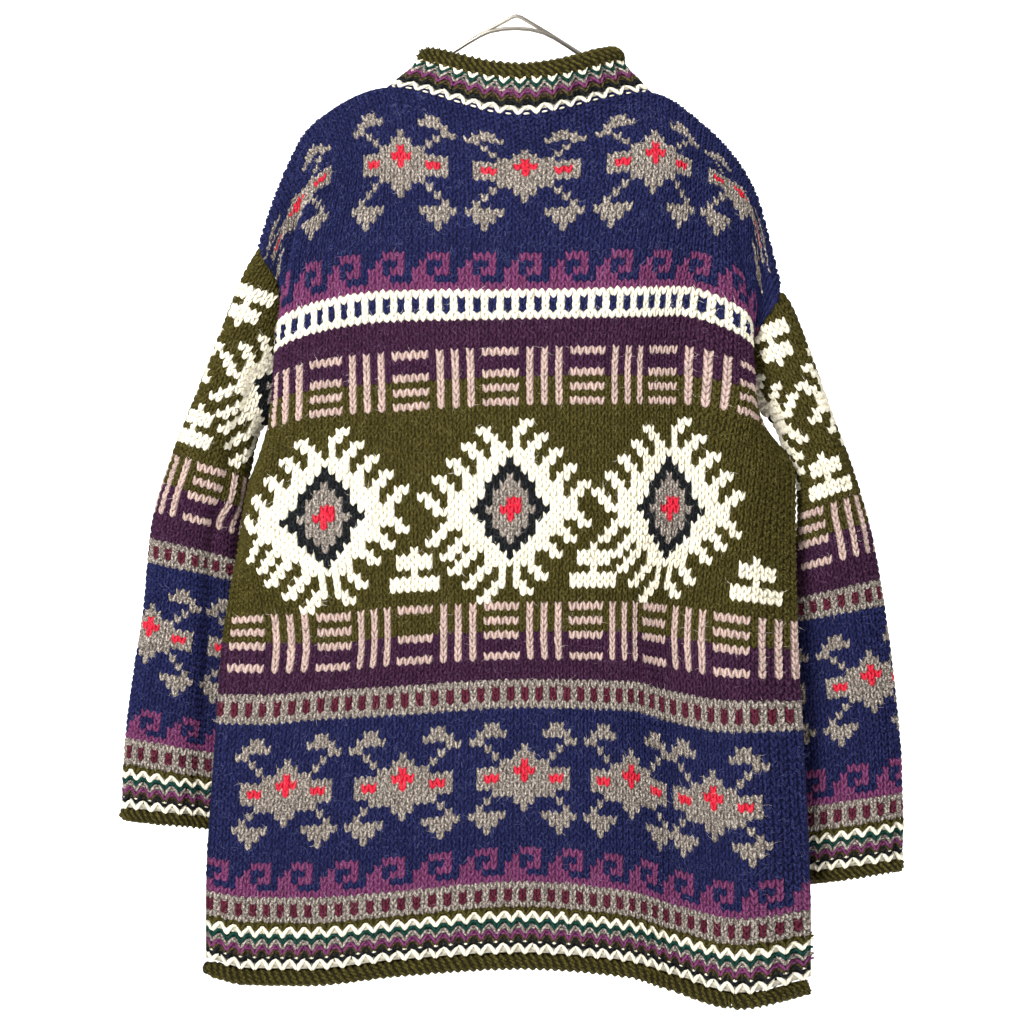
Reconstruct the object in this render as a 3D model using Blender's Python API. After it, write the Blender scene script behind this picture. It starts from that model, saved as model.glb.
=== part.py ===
"""Hand-knitted wool pullover, hanging on a steel rod hanger, seen from its back.

The origin is the peak of the hanger, where it hangs.  The back of the pullover faces -Y,
+Z is up, and all tables are in millimetres.  A panel is measured in stitches across and
in rows up from its hem rib.
"""
import math

import bmesh
import bpy
import numpy as np

MM = 0.001

# ------------------------------------------------------------------ driving dimensions (mm)
WALL = 4.0                # chunky hand knit
SEAM_SHIFT = 0.2          # each edge of a panel or sleeve stands back this far at a seam
RIB_SHIFT = 0.25          # and each edge of a rib this far
LEAST_MITRE_COSINE = 0.6  # a mitre reaches at most one wall divided by this
UNDERARM_MITRE = (1.0, 0.0, -1.0)   # out and down: the walls under an arm lie behind this
RIB_RELIEF = 1.8          # a rib column stands this far out of its wall
PANEL_STITCHES = 84
RIB_ROWS = 8
UNDERARM_ROW = 73
YOKE_ROW = 100
SHOULDER_ROW = 109
NECK_FROM, NECK_TO = 26, 58
HEM_ROLL_RADIUS = 5.3
CUFF_ROLL_RADIUS = 5.4
COLLAR_ROLL_RADIUS = 6.2
ROD_RADIUS = 1.6
ROD_CLEARANCE = 0.5
ROD_STEEPNESS = 1.12      # how much more is vertical than square to the sloping shoulder
ROD_SPREAD_LIMIT = 1.8    # the rod sinks at most this much more where the ridge is sharp
ROD_RIDGE_ROW = 105.0     # the ridge's sharpness is taken between this row and the seam
ROD_STITCHES_LEFT = (22, 19, 17)
ROD_STITCHES_RIGHT = (62, 64)

# ------------------------------------------------------------------ sections of the body
# Stitches of the back panel at which each section below is measured.
STATIONS = (0, 6, 14, 26, 42, 58, 66, 76, 84)
# row, then x, z and y (back panel) at the stations; then the front panel's y at the seam,
# at 6 stitches, 14 stitches, 26 stitches and at the middle (the same on both sides).
BODY_SECTIONS = (
    ("hem", -RIB_ROWS,
     (-252, -217, -171, -96, 1, 91, 128, 182, 239),
     (-763, -770, -770, -762, -756, -763, -775, -789, -778),
     (2, -16, -28, -36, -38, -35, -20, -30, 2), (2, 18, 27, 33, 35)),
    ("ladder_low", 2,
     (-252, -216, -171, -96, 2, 91, 128, 182, 239),
     (-718, -723, -723, -717, -709, -717, -729, -740, -734),
     (2, -16, -28, -37, -39, -36, -19, -30, 2), (2, 18, 27, 34, 36)),
    ("ladder_mid", 30,
     (-243, -208, -161, -93, 4, 90, 124, 176, 232),
     (-561, -561, -557, -553, -547, -549, -558, -566, -566),
     (2, -17, -29, -39, -41, -38, -20, -30, 2), (2, 18, 28, 35, 37)),
    ("bars_low", 39,
     (-239, -203, -155, -90, 2, 89, 120, 176, 229),
     (-507, -507, -507, -501, -497, -497, -501, -509, -513),
     (3, -16, -29, -40, -42, -39, -22, -29, 3), (3, 19, 29, 37, 39)),
    ("diamonds", 55,
     (-225, -213, -165, -92, 4, 92, 131, 183, 227),
     (-428, -416, -407, -403, -399, -398, -399, -408, -420),
     (14, -14, -28, -41, -44, -41, -29, -26, 12), (14, 30, 37, 42, 44)),
    ("below_arm", 63,
     (-217, -206, -163, -93, 3, 92, 130, 189, 227),
     (-380, -365, -355, -350, -346, -345, -345, -356, -372),
     (16, -9, -26, -41, -45, -41, -31, -20, 16), (16, 34, 42, 47, 49)),
    ("underarm", UNDERARM_ROW,
     (-190, -198, -162, -94, 2, 92, 129, 192, 195),
     (-331, -313, -302, -297, -292, -291, -291, -304, -323),
     (38, 6, -22, -40, -45, -41, -32, -6, 38), (38, 47, 51, 53, 54)),
    ("ladder_high", 83,
     (-184, -194, -162, -96, 2, 97, 134, 190, 190),
     (-271, -261, -244, -235, -234, -232, -231, -257, -277),
     (24, 2, -21, -38, -43, -39, -30, -4, 24), (52, 52, 52, 53, 54)),
    ("scroll_high", 90,
     (-190, -189, -162, -96, 2, 100, 141, 189, 198),
     (-226, -210, -199, -192, -193, -190, -191, -213, -251),
     (8, -6, -20, -36, -42, -37, -27, -7, 8), (50, 49, 49, 50, 52)),
    ("yoke", YOKE_ROW,
     (-201, -184, -149, -96, 4, 110, 146, 187, 208),
     (-203, -164, -126, -117, -126, -114, -123, -151, -237),
     (-2, -10, -19, -29, -41, -29, -20, -11, -2), (33, 31, 30, 36, 48)),
    ("shoulder_turn", 106,
     (-206, -190, -160, -98, 2, 107, 149, 190, 212),
     (-194, -151, -99, -74, -98, -76, -98, -147, -227),
     (-8, -9, -9, -15, -45, -15, -9, -9, -8), (11, 10, 10, 15, 47)),
    ("shoulder", SHOULDER_ROW,
     (-209, -194, -166, -102, 1, 107, 151, 191, 214),
     (-186, -141, -88, -58, -83, -62, -87, -137, -218),
     (0, 0, 0, -9, -46, -9, 0, 0, 0), (0, 0, 0, 9, 48)),
)
FRONT_NECK_DROP = 38      # the front neckline dips this far below the back one
FRONT_DROP_FROM_ROW = 83

# ------------------------------------------------------------------ sections of the sleeves
# outer edge x, z; inner edge x, z; nearest and farthest y; how far the inner edge lies
# behind the middle
LEFT_SLEEVE = (
    ("cap", -218, -203, -209, -337, 2, 46, 14),
    ("upper", -240, -256, -214, -352, 0, 58, 11),
    ("biceps", -262, -311, -218, -372, 0, 64, 7),
    ("elbow_high", -280, -356, -223, -400, 4, 66, 5),
    ("elbow", -297, -414, -227, -434, 12, 68, 4),
    ("forearm_high", -304, -482, -226, -500, 20, 70, 3),
    ("forearm", -312, -532, -228, -550, 22, 70, 3),
    ("wrist_high", -318, -578, -231, -594, 23, 70, 3),
    ("wrist", -320, -607, -234, -621, 24, 70, 3),
    ("cuff_end", -321, -642, -242, -651, 26, 67, 3),
)
RIGHT_SLEEVE = (
    ("cap", 223, -235, 213, -336, 2, 46, 14),
    ("upper", 240, -278, 219, -354, 0, 58, 11),
    ("biceps", 257, -325, 229, -376, 0, 64, 7),
    ("elbow_high", 273, -366, 230, -406, 4, 68, 5),
    ("elbow", 289, -420, 226, -440, 14, 70, 4),
    ("forearm_high", 301, -486, 224, -506, 22, 72, 3),
    ("forearm", 308, -540, 222, -560, 23, 72, 3),
    ("wrist_high", 314, -606, 226, -626, 24, 72, 3),
    ("wrist", 315, -650, 229, -664, 24, 72, 3),
    ("cuff_end", 314, -684, 236, -695, 26, 69, 3),
)

# ------------------------------------------------------------------ collar and hanger
NECK_HALF_WIDTH = 104.5
COLLAR_ROLL_UPRIGHT = 0.35   # how far the roll turns from the rib's lean to upright
COLLAR_ROLL_GAP = 0.35
COLLAR_TOP = {"centre_x": 3.0, "half_width": 84.0, "half_depth": 43.0,
              "back_z": -53.0, "side_z": -40.0, "front_z": -90.0}
# x, z of the upper rod outside the shoulders, from its peak down to the collar
ROD_LEFT = ((0, 0), (-4, -1.2), (-28, -14.4), (-52, -30), (-64, -41.5),
            (-76, -54), (-98, -72))
ROD_RIGHT = ((0, 0), (4, -1.2), (25.5, -14), (54, -32), (67, -43.5),
             (79, -55), (103, -76))
# x, z of the arch, which runs into the rod's line on both sides, in front of it
ARCH = ((-61, -38.8), (-52, -30.2), (-40.5, -22.8), (-29.5, -16.3), (-21.5, -12.9),
        (-11, -10.9), (0, -10.3), (11, -11.2), (21.5, -13.8), (30, -17.8), (40.5, -24.2),
        (54, -33.4), (63, -41.6))
ARCH_FORWARD = 3.6

# ------------------------------------------------------------------ how fine the walls are
PANEL_STITCH_GRID = (0, 3, 6, 10, 14, 18, 22, 26, 30, 34, 38, 42, 46, 50, 54, 58, 62, 66, 70,
                     74, 78, 81, 84)
LOWER_ROW_STEPS = 14
ARMHOLE_ROW_STEPS = 9
SLEEVE_STEPS_PER_SECTION = 2
UNDERARM_LINE = LOWER_ROW_STEPS + 1      # the panel line at the underarm row

COLOURS = {
    "navy": (0.014, 0.017, 0.095, 1.0),
    "purple": (0.056, 0.016, 0.052, 1.0),
    "olive": (0.068, 0.058, 0.014, 1.0),
    "grey": (0.24, 0.22, 0.19, 1.0),
    "steel": (0.55, 0.53, 0.50, 1.0),
}


def smooth(knots, values, wanted):
    """Cubic curve through the knots that never swings past them."""
    knots = np.asarray(knots, float)
    values = np.asarray(values, float)
    wanted = np.asarray(wanted, float)
    width = np.diff(knots)
    slope = np.diff(values, axis=0) / width.reshape((-1,) + (1,) * (values.ndim - 1))
    tangent = np.zeros_like(values)
    same_way = slope[:-1] * slope[1:] > 0
    total = np.where(same_way, slope[:-1] + slope[1:], 1.0)
    tangent[1:-1] = np.where(same_way, 2.0 * slope[:-1] * slope[1:] / total, 0.0)
    tangent[0] = slope[0]
    tangent[-1] = slope[-1]
    span = np.clip(np.searchsorted(knots, wanted, side="right") - 1, 0, len(width) - 1)
    shape = (-1,) + (1,) * (values.ndim - 1)
    step = width[span].reshape(shape)
    t = (wanted - knots[span]).reshape(shape) / step
    return ((2 * t ** 3 - 3 * t ** 2 + 1) * values[span]
            + (t ** 3 - 2 * t ** 2 + t) * step * tangent[span]
            + (3 * t ** 2 - 2 * t ** 3) * values[span + 1]
            + (t ** 3 - t ** 2) * step * tangent[span + 1])


def body_surface(side, stitches, rows):
    """Outer points of the back or front panel, one for each row and stitch."""
    levels = []
    for _name, row, xs, zs, back_ys, front_ys in BODY_SECTIONS:
        x = smooth(STATIONS, xs, stitches)
        z = smooth(STATIONS, zs, stitches)
        if side == "back":
            y = smooth(STATIONS, back_ys, stitches)
        else:
            across = np.minimum(stitches, PANEL_STITCHES - np.asarray(stitches))
            y = smooth((0, 6, 14, 26, 42), front_ys, across)
            middle = (np.asarray(stitches) - PANEL_STITCHES / 2) / (NECK_TO - NECK_FROM) * 2
            dip = np.clip(1 - middle ** 2, 0, 1)
            rise = (row - FRONT_DROP_FROM_ROW) / (SHOULDER_ROW - FRONT_DROP_FROM_ROW)
            z = z - FRONT_NECK_DROP * dip * max(0.0, rise)
            level = xs[0] + (xs[-1] - xs[0]) * np.asarray(stitches) / PANEL_STITCHES
            share = np.clip((row - UNDERARM_ROW) / (YOKE_ROW - UNDERARM_ROW), 0, 1)
            x = level + (x - level) * share
        levels.append(np.stack((x, y, z), axis=-1))
    section_rows = [section[1] for section in BODY_SECTIONS]
    return smooth(section_rows, np.array(levels), rows)


def section_ring(section, count):
    """An oval ring of a sleeve: it starts at the outer edge and runs past the near side."""
    _name, outer_x, outer_z, inner_x, inner_z, near, far, lean = section
    ring = []
    for index in range(count):
        angle = 2 * math.pi * index / count
        along = math.cos(angle)
        ring.append(((outer_x + inner_x) / 2 + (outer_x - inner_x) / 2 * along,
                     (near + far) / 2 - (far - near) / 2 * math.sin(angle) - lean * along,
                     (outer_z + inner_z) / 2 + (outer_z - inner_z) / 2 * along))
    return np.array(ring)


def unit(vectors):
    """Vectors of length one."""
    length = np.linalg.norm(vectors, axis=-1, keepdims=True)
    return vectors / np.maximum(length, 1e-9)


def surface_normals(grid, ring):
    """Normals of a grid of points (lines of points, each line going round or across)."""
    if ring:
        across = np.roll(grid, -1, axis=1) - np.roll(grid, 1, axis=1)
    else:
        across = np.gradient(grid, axis=1)
    along = np.gradient(grid, axis=0)
    return unit(np.cross(across, along))


def draw_back(outer, inner, axis, at_end, shift=SEAM_SHIFT):
    """Move one edge of a wall back from its seam, along the wall."""
    edge, neighbour = (-1, -2) if at_end else (0, 1)
    for points in (outer, inner):
        lines = points if axis == 0 else points.swapaxes(0, 1)
        lines[edge] += unit(lines[neighbour] - lines[edge]) * shift


def rim_faces(model, out_1, out_2, in_2, in_1):
    """Close a piece of rim, split the shorter way, so that two rims at a seam match."""
    if (out_1.co - in_2.co).length < (out_2.co - in_1.co).length:
        model.faces.new((out_1, out_2, in_2))
        model.faces.new((out_1, in_2, in_1))
    else:
        model.faces.new((out_1, out_2, in_1))
        model.faces.new((out_2, in_2, in_1))


def wall_object(name, outer, inner, colour, ring, collection):
    """One closed wall between two grids of points, open at its edges' rims."""
    lines, count = outer.shape[:2]
    mesh = bpy.data.meshes.new(name)
    model = bmesh.new()
    skins = []
    for points in (outer, inner):
        skins.append([[model.verts.new(points[i, j] * MM) for j in range(count)]
                      for i in range(lines)])
    skin_out, skin_in = skins
    spans = count if ring else count - 1
    for i in range(lines - 1):
        for j in range(spans):
            k = (j + 1) % count
            for skin in skins:
                model.faces.new((skin[i][j], skin[i][k], skin[i + 1][k], skin[i + 1][j]))
    for j in range(spans):
        k = (j + 1) % count
        for i in (0, lines - 1):
            rim_faces(model, skin_out[i][j], skin_out[i][k], skin_in[i][k], skin_in[i][j])
    if not ring:
        for i in range(lines - 1):
            for j in (0, count - 1):
                rim_faces(model, skin_out[i][j], skin_out[i + 1][j],
                          skin_in[i + 1][j], skin_in[i][j])
    bmesh.ops.recalc_face_normals(model, faces=model.faces)
    model.to_mesh(mesh)
    model.free()
    mesh.materials.append(material(colour))
    piece = bpy.data.objects.new(name, mesh)
    collection.objects.link(piece)
    return piece


def tube_object(name, points, radius, closed, colour, collection):
    """A round rod or a rolled edge along a line of points."""
    curve = bpy.data.curves.new(name, "CURVE")
    curve.dimensions = "3D"
    curve.bevel_depth = radius * MM
    curve.bevel_resolution = 2
    curve.use_fill_caps = True
    spline = curve.splines.new("POLY")
    spline.points.add(len(points) - 1)
    for spot, point in zip(spline.points, points):
        spot.co = (point[0] * MM, point[1] * MM, point[2] * MM, 1.0)
    spline.use_cyclic_u = closed
    curve.materials.append(material(colour))
    piece = bpy.data.objects.new(name, curve)
    collection.objects.link(piece)
    return piece


def material(colour):
    """The plain finish of one yarn colour, or of the steel."""
    finish = bpy.data.materials.get(colour)
    if finish is None:
        finish = bpy.data.materials.new(colour)
        finish.use_nodes = True
        shader = finish.node_tree.nodes["Principled BSDF"]
        steel = colour == "steel"
        shader.inputs["Base Color"].default_value = COLOURS[colour]
        shader.inputs["Roughness"].default_value = 0.25 if steel else 0.9
        shader.inputs["Metallic"].default_value = 1.0 if steel else 0.0
    return finish


class Skin:
    """Outer points of a piece of knit, with the directions in which its wall is given depth."""

    def __init__(self, grid, ring, centre):
        self.grid = grid
        self.ring = ring
        normals = surface_normals(grid, ring)
        if np.sum(normals * (grid - centre)) < 0:
            normals = -normals
        self.own = normals
        self.shared = normals.copy()
        self.reach = np.ones(grid.shape[:2] + (1,))

    def inner(self):
        """Points one wall inside the outer ones."""
        return self.grid - self.shared * self.reach * WALL


def share_normals(*places, facing=None):
    """Mitre pieces that meet at a point: all their walls lead to the same inner point."""
    average = unit(sum(piece.own[index] for piece, index in places))
    if facing is not None:
        average = unit(np.array(facing))
    cosines = [float(np.dot(piece.own[index], average)) for piece, index in places]
    for piece, index in places:
        piece.shared[index] = average
        piece.reach[index] = 1 / max(sum(cosines) / len(cosines), LEAST_MITRE_COSINE)


class Panel(Skin):
    """The back or the front, from the foot of its rib to the shoulder seam."""

    def __init__(self, side):
        lower = np.linspace(0, UNDERARM_ROW, LOWER_ROW_STEPS + 1)
        upper = np.linspace(UNDERARM_ROW, SHOULDER_ROW, ARMHOLE_ROW_STEPS + 1)
        rows = np.concatenate(((-RIB_ROWS,), lower, upper[1:]))
        grid = body_surface(side, np.array(PANEL_STITCH_GRID, float), rows)
        super().__init__(grid, False, grid.mean(axis=(0, 1)) * (1, 0, 1))

    def build(self, name, colour, collection):
        """Make the wall above the rib, its four edges drawn back from their seams."""
        outer = self.grid[1:].copy()
        inner = self.inner()[1:]
        for axis in (0, 1):
            draw_back(outer, inner, axis, False)
            draw_back(outer, inner, axis, True)
        return wall_object(name, outer, inner, colour, False, collection)


class Sleeve(Skin):
    """A sleeve, from the armhole's loop to the foot of its cuff's rib."""

    def __init__(self, sections, loop):
        rings = [loop] + [section_ring(section, len(loop)) for section in sections]
        last = len(rings) - 1
        steps = list(np.linspace(0, last - 1, (last - 1) * SLEEVE_STEPS_PER_SECTION + 1))
        grid = smooth(range(len(rings)), np.array(rings), steps + [last])
        super().__init__(grid, True, grid.mean(axis=1, keepdims=True))

    def build(self, name, colour, collection):
        """Make the wall above the cuff, drawn back at the armhole and at the cuff."""
        outer = self.grid[:-1].copy()
        inner = self.inner()[:-1]
        draw_back(outer, inner, 0, False)
        draw_back(outer, inner, 0, True)
        return wall_object(name, outer, inner, colour, True, collection)


def armhole_loop(back, front, edge):
    """Where a sleeve meets the body: down the back edge, under the arm, up the front."""
    top = len(back.grid) - 1
    down = [(back, (row, edge)) for row in range(top, UNDERARM_LINE, -1)]
    up = [(front, (row, edge)) for row in range(UNDERARM_LINE, top)]
    return down + up


def finer(lines, ring, parts):
    """The same lines of points with each stretch divided into parts."""
    count = lines.shape[1]
    spans = count if ring else count - 1
    following = np.roll(lines, -1, axis=1)
    steps = [lines + (following - lines) * part / parts for part in range(parts)]
    dense = np.stack(steps, axis=2).reshape(len(lines), count * parts, 3)
    return dense if ring else np.concatenate((dense[:, :spans * parts], lines[:, -1:]), axis=1)


def at_every_stitch(lines):
    """The same lines of a panel with a point at every stitch."""
    stitches = np.arange(PANEL_STITCHES + 1)
    columns = [[np.interp(stitches, PANEL_STITCH_GRID, line[:, axis]) for axis in range(3)]
               for line in lines]
    return np.array(columns).swapaxes(1, 2)


def ribbed_wall(name, outer, inner, ring, colour, collection):
    """A rib: every second column stands out of its wall, over a plain inside."""
    outer = outer.copy()
    inner = inner.copy()
    outer[:, ::2] += unit(outer - inner)[:, ::2] * RIB_RELIEF
    draw_back(outer, inner, 0, False, RIB_SHIFT)
    draw_back(outer, inner, 0, True, RIB_SHIFT)
    if not ring:
        draw_back(outer, inner, 1, False)
        draw_back(outer, inner, 1, True)
    return wall_object(name, outer, inner, colour, ring, collection)


def rolled_edge(edge, before, inside, radius):
    """The middle line of a roll that lies just past an edge of a closed band."""
    along = unit(np.roll(edge, -1, axis=0) - np.roll(edge, 1, axis=0))
    away = edge - before
    away = unit(away - along * np.sum(away * along, axis=1, keepdims=True))
    return (edge + inside) / 2 + away * (radius + 2 * SEAM_SHIFT)


def build_body(collection):
    """Back, front, both sleeves and the collar, mitred to each other at every seam."""
    back = Panel("back")
    front = Panel("front")
    for edge in (0, -1):
        front.grid[:UNDERARM_LINE + 1, edge] = back.grid[:UNDERARM_LINE + 1, edge]
    top = len(back.grid) - 1
    columns = range(len(PANEL_STITCH_GRID))
    shoulder = [c for c in columns if not NECK_FROM <= PANEL_STITCH_GRID[c] <= NECK_TO]
    for column in shoulder[1:-1]:
        share_normals((back, (top, column)), (front, (top, column)))
    sleeves = []
    for side, edge, sections in (("left", 0, LEFT_SLEEVE), ("right", -1, RIGHT_SLEEVE)):
        outward = -1.0 if edge == 0 else 1.0
        for row in range(UNDERARM_LINE):
            share_normals((back, (row, edge)), (front, (row, edge)))
        places = armhole_loop(back, front, edge)
        loop = np.array([piece.grid[index] for piece, index in places])
        sleeve = Sleeve(sections, loop)
        for number, (piece, index) in enumerate(places):
            meets = [(piece, index), (sleeve, (0, number))]
            if index[0] in (UNDERARM_LINE, top):
                other = back if piece is front else front
                meets.append((other, index))
            share_normals(*meets)
            if index[0] == UNDERARM_LINE:
                share_normals(*meets, facing=np.multiply(UNDERARM_MITRE, (outward, 1, 1)))
        sleeves.append((side, sleeve))
    build_collar(back, front, collection)
    back.build("back_panel", "navy", collection)
    front.build("front_panel", "purple", collection)
    for side, sleeve in sleeves:
        sleeve.build("sleeve_" + side, "navy", collection)
        build_cuff(side, sleeve, collection)
    build_hem(back, front, collection)


def build_hem(back, front, collection):
    """The hem's ribs, back and front, and the rolled edge that runs all round."""
    feet = []
    for side, panel in (("back", back), ("front", front)):
        outer = at_every_stitch(panel.grid[:2])
        inner = at_every_stitch(panel.inner()[:2])
        ribbed_wall("hem_rib_" + side, outer, inner, False, "olive", collection)
        feet.append((panel.grid[:2], panel.inner()[:2]))
    (back_out, back_in), (front_out, front_in) = feet
    outer = np.concatenate((back_out[:, :-1], front_out[:, :0:-1]), axis=1)
    inner = np.concatenate((back_in[:, :-1], front_in[:, :0:-1]), axis=1)
    line = rolled_edge(outer[0], outer[1], inner[0], HEM_ROLL_RADIUS)
    tube_object("hem_roll", line, HEM_ROLL_RADIUS, True, "olive", collection)


def build_cuff(side, sleeve, collection):
    """The rib and the rolled edge of one cuff."""
    outer = sleeve.grid[-2:]
    inner = sleeve.inner()[-2:]
    ribbed_wall("cuff_rib_" + side, finer(outer, True, 2), finer(inner, True, 2), True,
                "olive", collection)
    line = rolled_edge(outer[1], outer[0], inner[1], CUFF_ROLL_RADIUS)
    tube_object("cuff_roll_" + side, line, CUFF_ROLL_RADIUS, True, "olive", collection)


def collar_top_line(base):
    """The upper end of the collar's rib, each point above its point of the neck edge."""
    top = COLLAR_TOP
    wave_1 = (top["front_z"] - top["back_z"]) / 2
    wave_2 = (top["side_z"] - (top["front_z"] + top["back_z"]) / 2) / 2
    level = (top["front_z"] + top["back_z"]) / 2 + wave_2
    line = []
    for x, y, _z in base:
        angle = math.atan2(y / top["half_depth"], (x - top["centre_x"]) / NECK_HALF_WIDTH)
        line.append((top["centre_x"] + top["half_width"] * math.cos(angle),
                     top["half_depth"] * math.sin(angle),
                     level + wave_1 * math.sin(angle) + wave_2 * math.cos(2 * angle)))
    return np.array(line)


def build_collar(back, front, collection):
    """The collar's rib, which stands on the neck edge, and its rolled top."""
    top = len(back.grid) - 1
    neck = [c for c, s in enumerate(PANEL_STITCH_GRID) if NECK_FROM <= s <= NECK_TO]
    places = [(back, (top, column)) for column in neck]
    places += [(front, (top, column)) for column in neck[::-1]]
    base = np.array([piece.grid[index] for piece, index in places])
    grid = np.array((base, collar_top_line(base)))
    collar = Skin(grid, True, grid.mean(axis=(0, 1)))
    for number, place in enumerate(places):
        share_normals(place, (collar, (0, number)))
    inner = collar.inner()
    ribbed_wall("collar_rib", finer(grid, True, 4), finer(inner, True, 4), True, "grey",
                collection)
    below = grid[1] - unit(grid[1] - grid[0]) - (0, 0, COLLAR_ROLL_UPRIGHT)
    line = rolled_edge(grid[1], below, inner[1], COLLAR_ROLL_RADIUS + COLLAR_ROLL_GAP)
    tube_object("collar_roll", finer(line[None], True, 2)[0], COLLAR_ROLL_RADIUS, True,
                "olive", collection)


def shoulder_rod(stitches):
    """Points of the hanger's rod just under the shoulder seam."""
    ridge = body_surface("back", np.array(stitches, float), (float(SHOULDER_ROW),))[0]
    turn = body_surface("back", np.array(stitches, float), (ROD_RIDGE_ROW,))[0]
    drop = ridge[:, 2] - turn[:, 2]
    out = ridge[:, 1] - turn[:, 1]
    spread = np.clip(np.hypot(drop, out) / out, 1.0, ROD_SPREAD_LIMIT)
    below = ROD_STEEPNESS * (WALL / LEAST_MITRE_COSINE + (ROD_RADIUS + ROD_CLEARANCE) * spread)
    return [(x, 0.0, z - b) for x, z, b in zip(ridge[:, 0], ridge[:, 2], below)]


def build_hanger(collection):
    """The hanger's upper rod, from shoulder to shoulder, and the arch under its peak."""
    left = [(x, 0.0, z) for x, z in ROD_LEFT] + shoulder_rod(ROD_STITCHES_LEFT)
    right = [(x, 0.0, z) for x, z in ROD_RIGHT[1:]] + shoulder_rod(ROD_STITCHES_RIGHT)
    tube_object("hanger_rod", left[::-1] + right, ROD_RADIUS, False, "steel", collection)
    arch = [(x, -ARCH_FORWARD, z) for x, z in ARCH]
    tube_object("hanger_arch", arch, ROD_RADIUS, False, "steel", collection)


def main():
    """Clear the scene and build every piece."""
    for old in list(bpy.data.objects):
        bpy.data.objects.remove(old, do_unlink=True)
    collection = bpy.data.collections.new("knit_pullover")
    bpy.context.scene.collection.children.link(collection)
    build_body(collection)
    build_hanger(collection)


main()
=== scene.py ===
"""Hand-knitted wool pullover on a steel wire hanger, seen from its back.

Sizes in the tables are millimetres, stitches and rows; meshes are in metres.  The origin is
the hanger's peak, the back faces -Y and +Z is up.  Stitches count from the left edge in the
camera's view, rows from the top of the rib upwards.
"""
import logging
import math
from dataclasses import dataclass, field
from enum import Enum
from typing import Iterable, Optional, Sequence, Union

import bpy
import numpy as np
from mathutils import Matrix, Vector


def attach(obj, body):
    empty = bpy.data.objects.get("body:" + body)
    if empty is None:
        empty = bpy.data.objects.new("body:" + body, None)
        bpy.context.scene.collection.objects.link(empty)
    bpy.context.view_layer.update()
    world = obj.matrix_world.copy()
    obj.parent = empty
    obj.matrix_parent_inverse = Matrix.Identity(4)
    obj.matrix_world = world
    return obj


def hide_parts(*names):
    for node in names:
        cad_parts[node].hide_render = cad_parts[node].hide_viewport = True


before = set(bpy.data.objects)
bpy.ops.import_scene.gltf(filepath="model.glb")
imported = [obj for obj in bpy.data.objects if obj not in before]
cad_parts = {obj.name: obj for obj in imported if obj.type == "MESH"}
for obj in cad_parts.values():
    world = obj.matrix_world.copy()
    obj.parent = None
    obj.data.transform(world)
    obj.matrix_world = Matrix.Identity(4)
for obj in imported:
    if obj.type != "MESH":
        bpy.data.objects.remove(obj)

LOG = logging.getLogger("pullover")
MM = 0.001
Number = Union[int, float]

PANEL_STITCHES = 84
SHOULDER_ROW = 113
UNDERARM_ROW = 73
YOKE_ROW = 102
RIB_ROWS = 8
NECK_FROM, NECK_TO = 26, 58
SLEEVE_REACH = 24
SLEEVE_ROWS = 76
RING_STITCHES = 34
PITCH = 6.0
COLLAR_STITCHES = 68
# Rows charted above the sleeve's last one, which the armhole cuts away.
SPARE_ROWS = 8
# Row of the surface at which the feet of the hem's and cuffs' ribs stand.
RIB_FOOT = -RIB_ROWS - 0.1

CLOTH_THICKNESS = 2.2
CLOTH_DEPTH = 0.9
# How high up its row a stitch's leg is tested against the cut.
LEG_MIDDLE = 0.35
# Stitches that must be left before the cut for a leg, a cell of cloth or a fibre to be made.
LEG_CLEARANCE, CLOTH_CLEARANCE, FUZZ_CLEARANCE = 0.1, 0.02, 0.8

# Stitches of the back panel at which each section of the body is measured.
STATIONS = (0, 6, 14, 26, 42, 58, 66, 76, 84)
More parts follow.
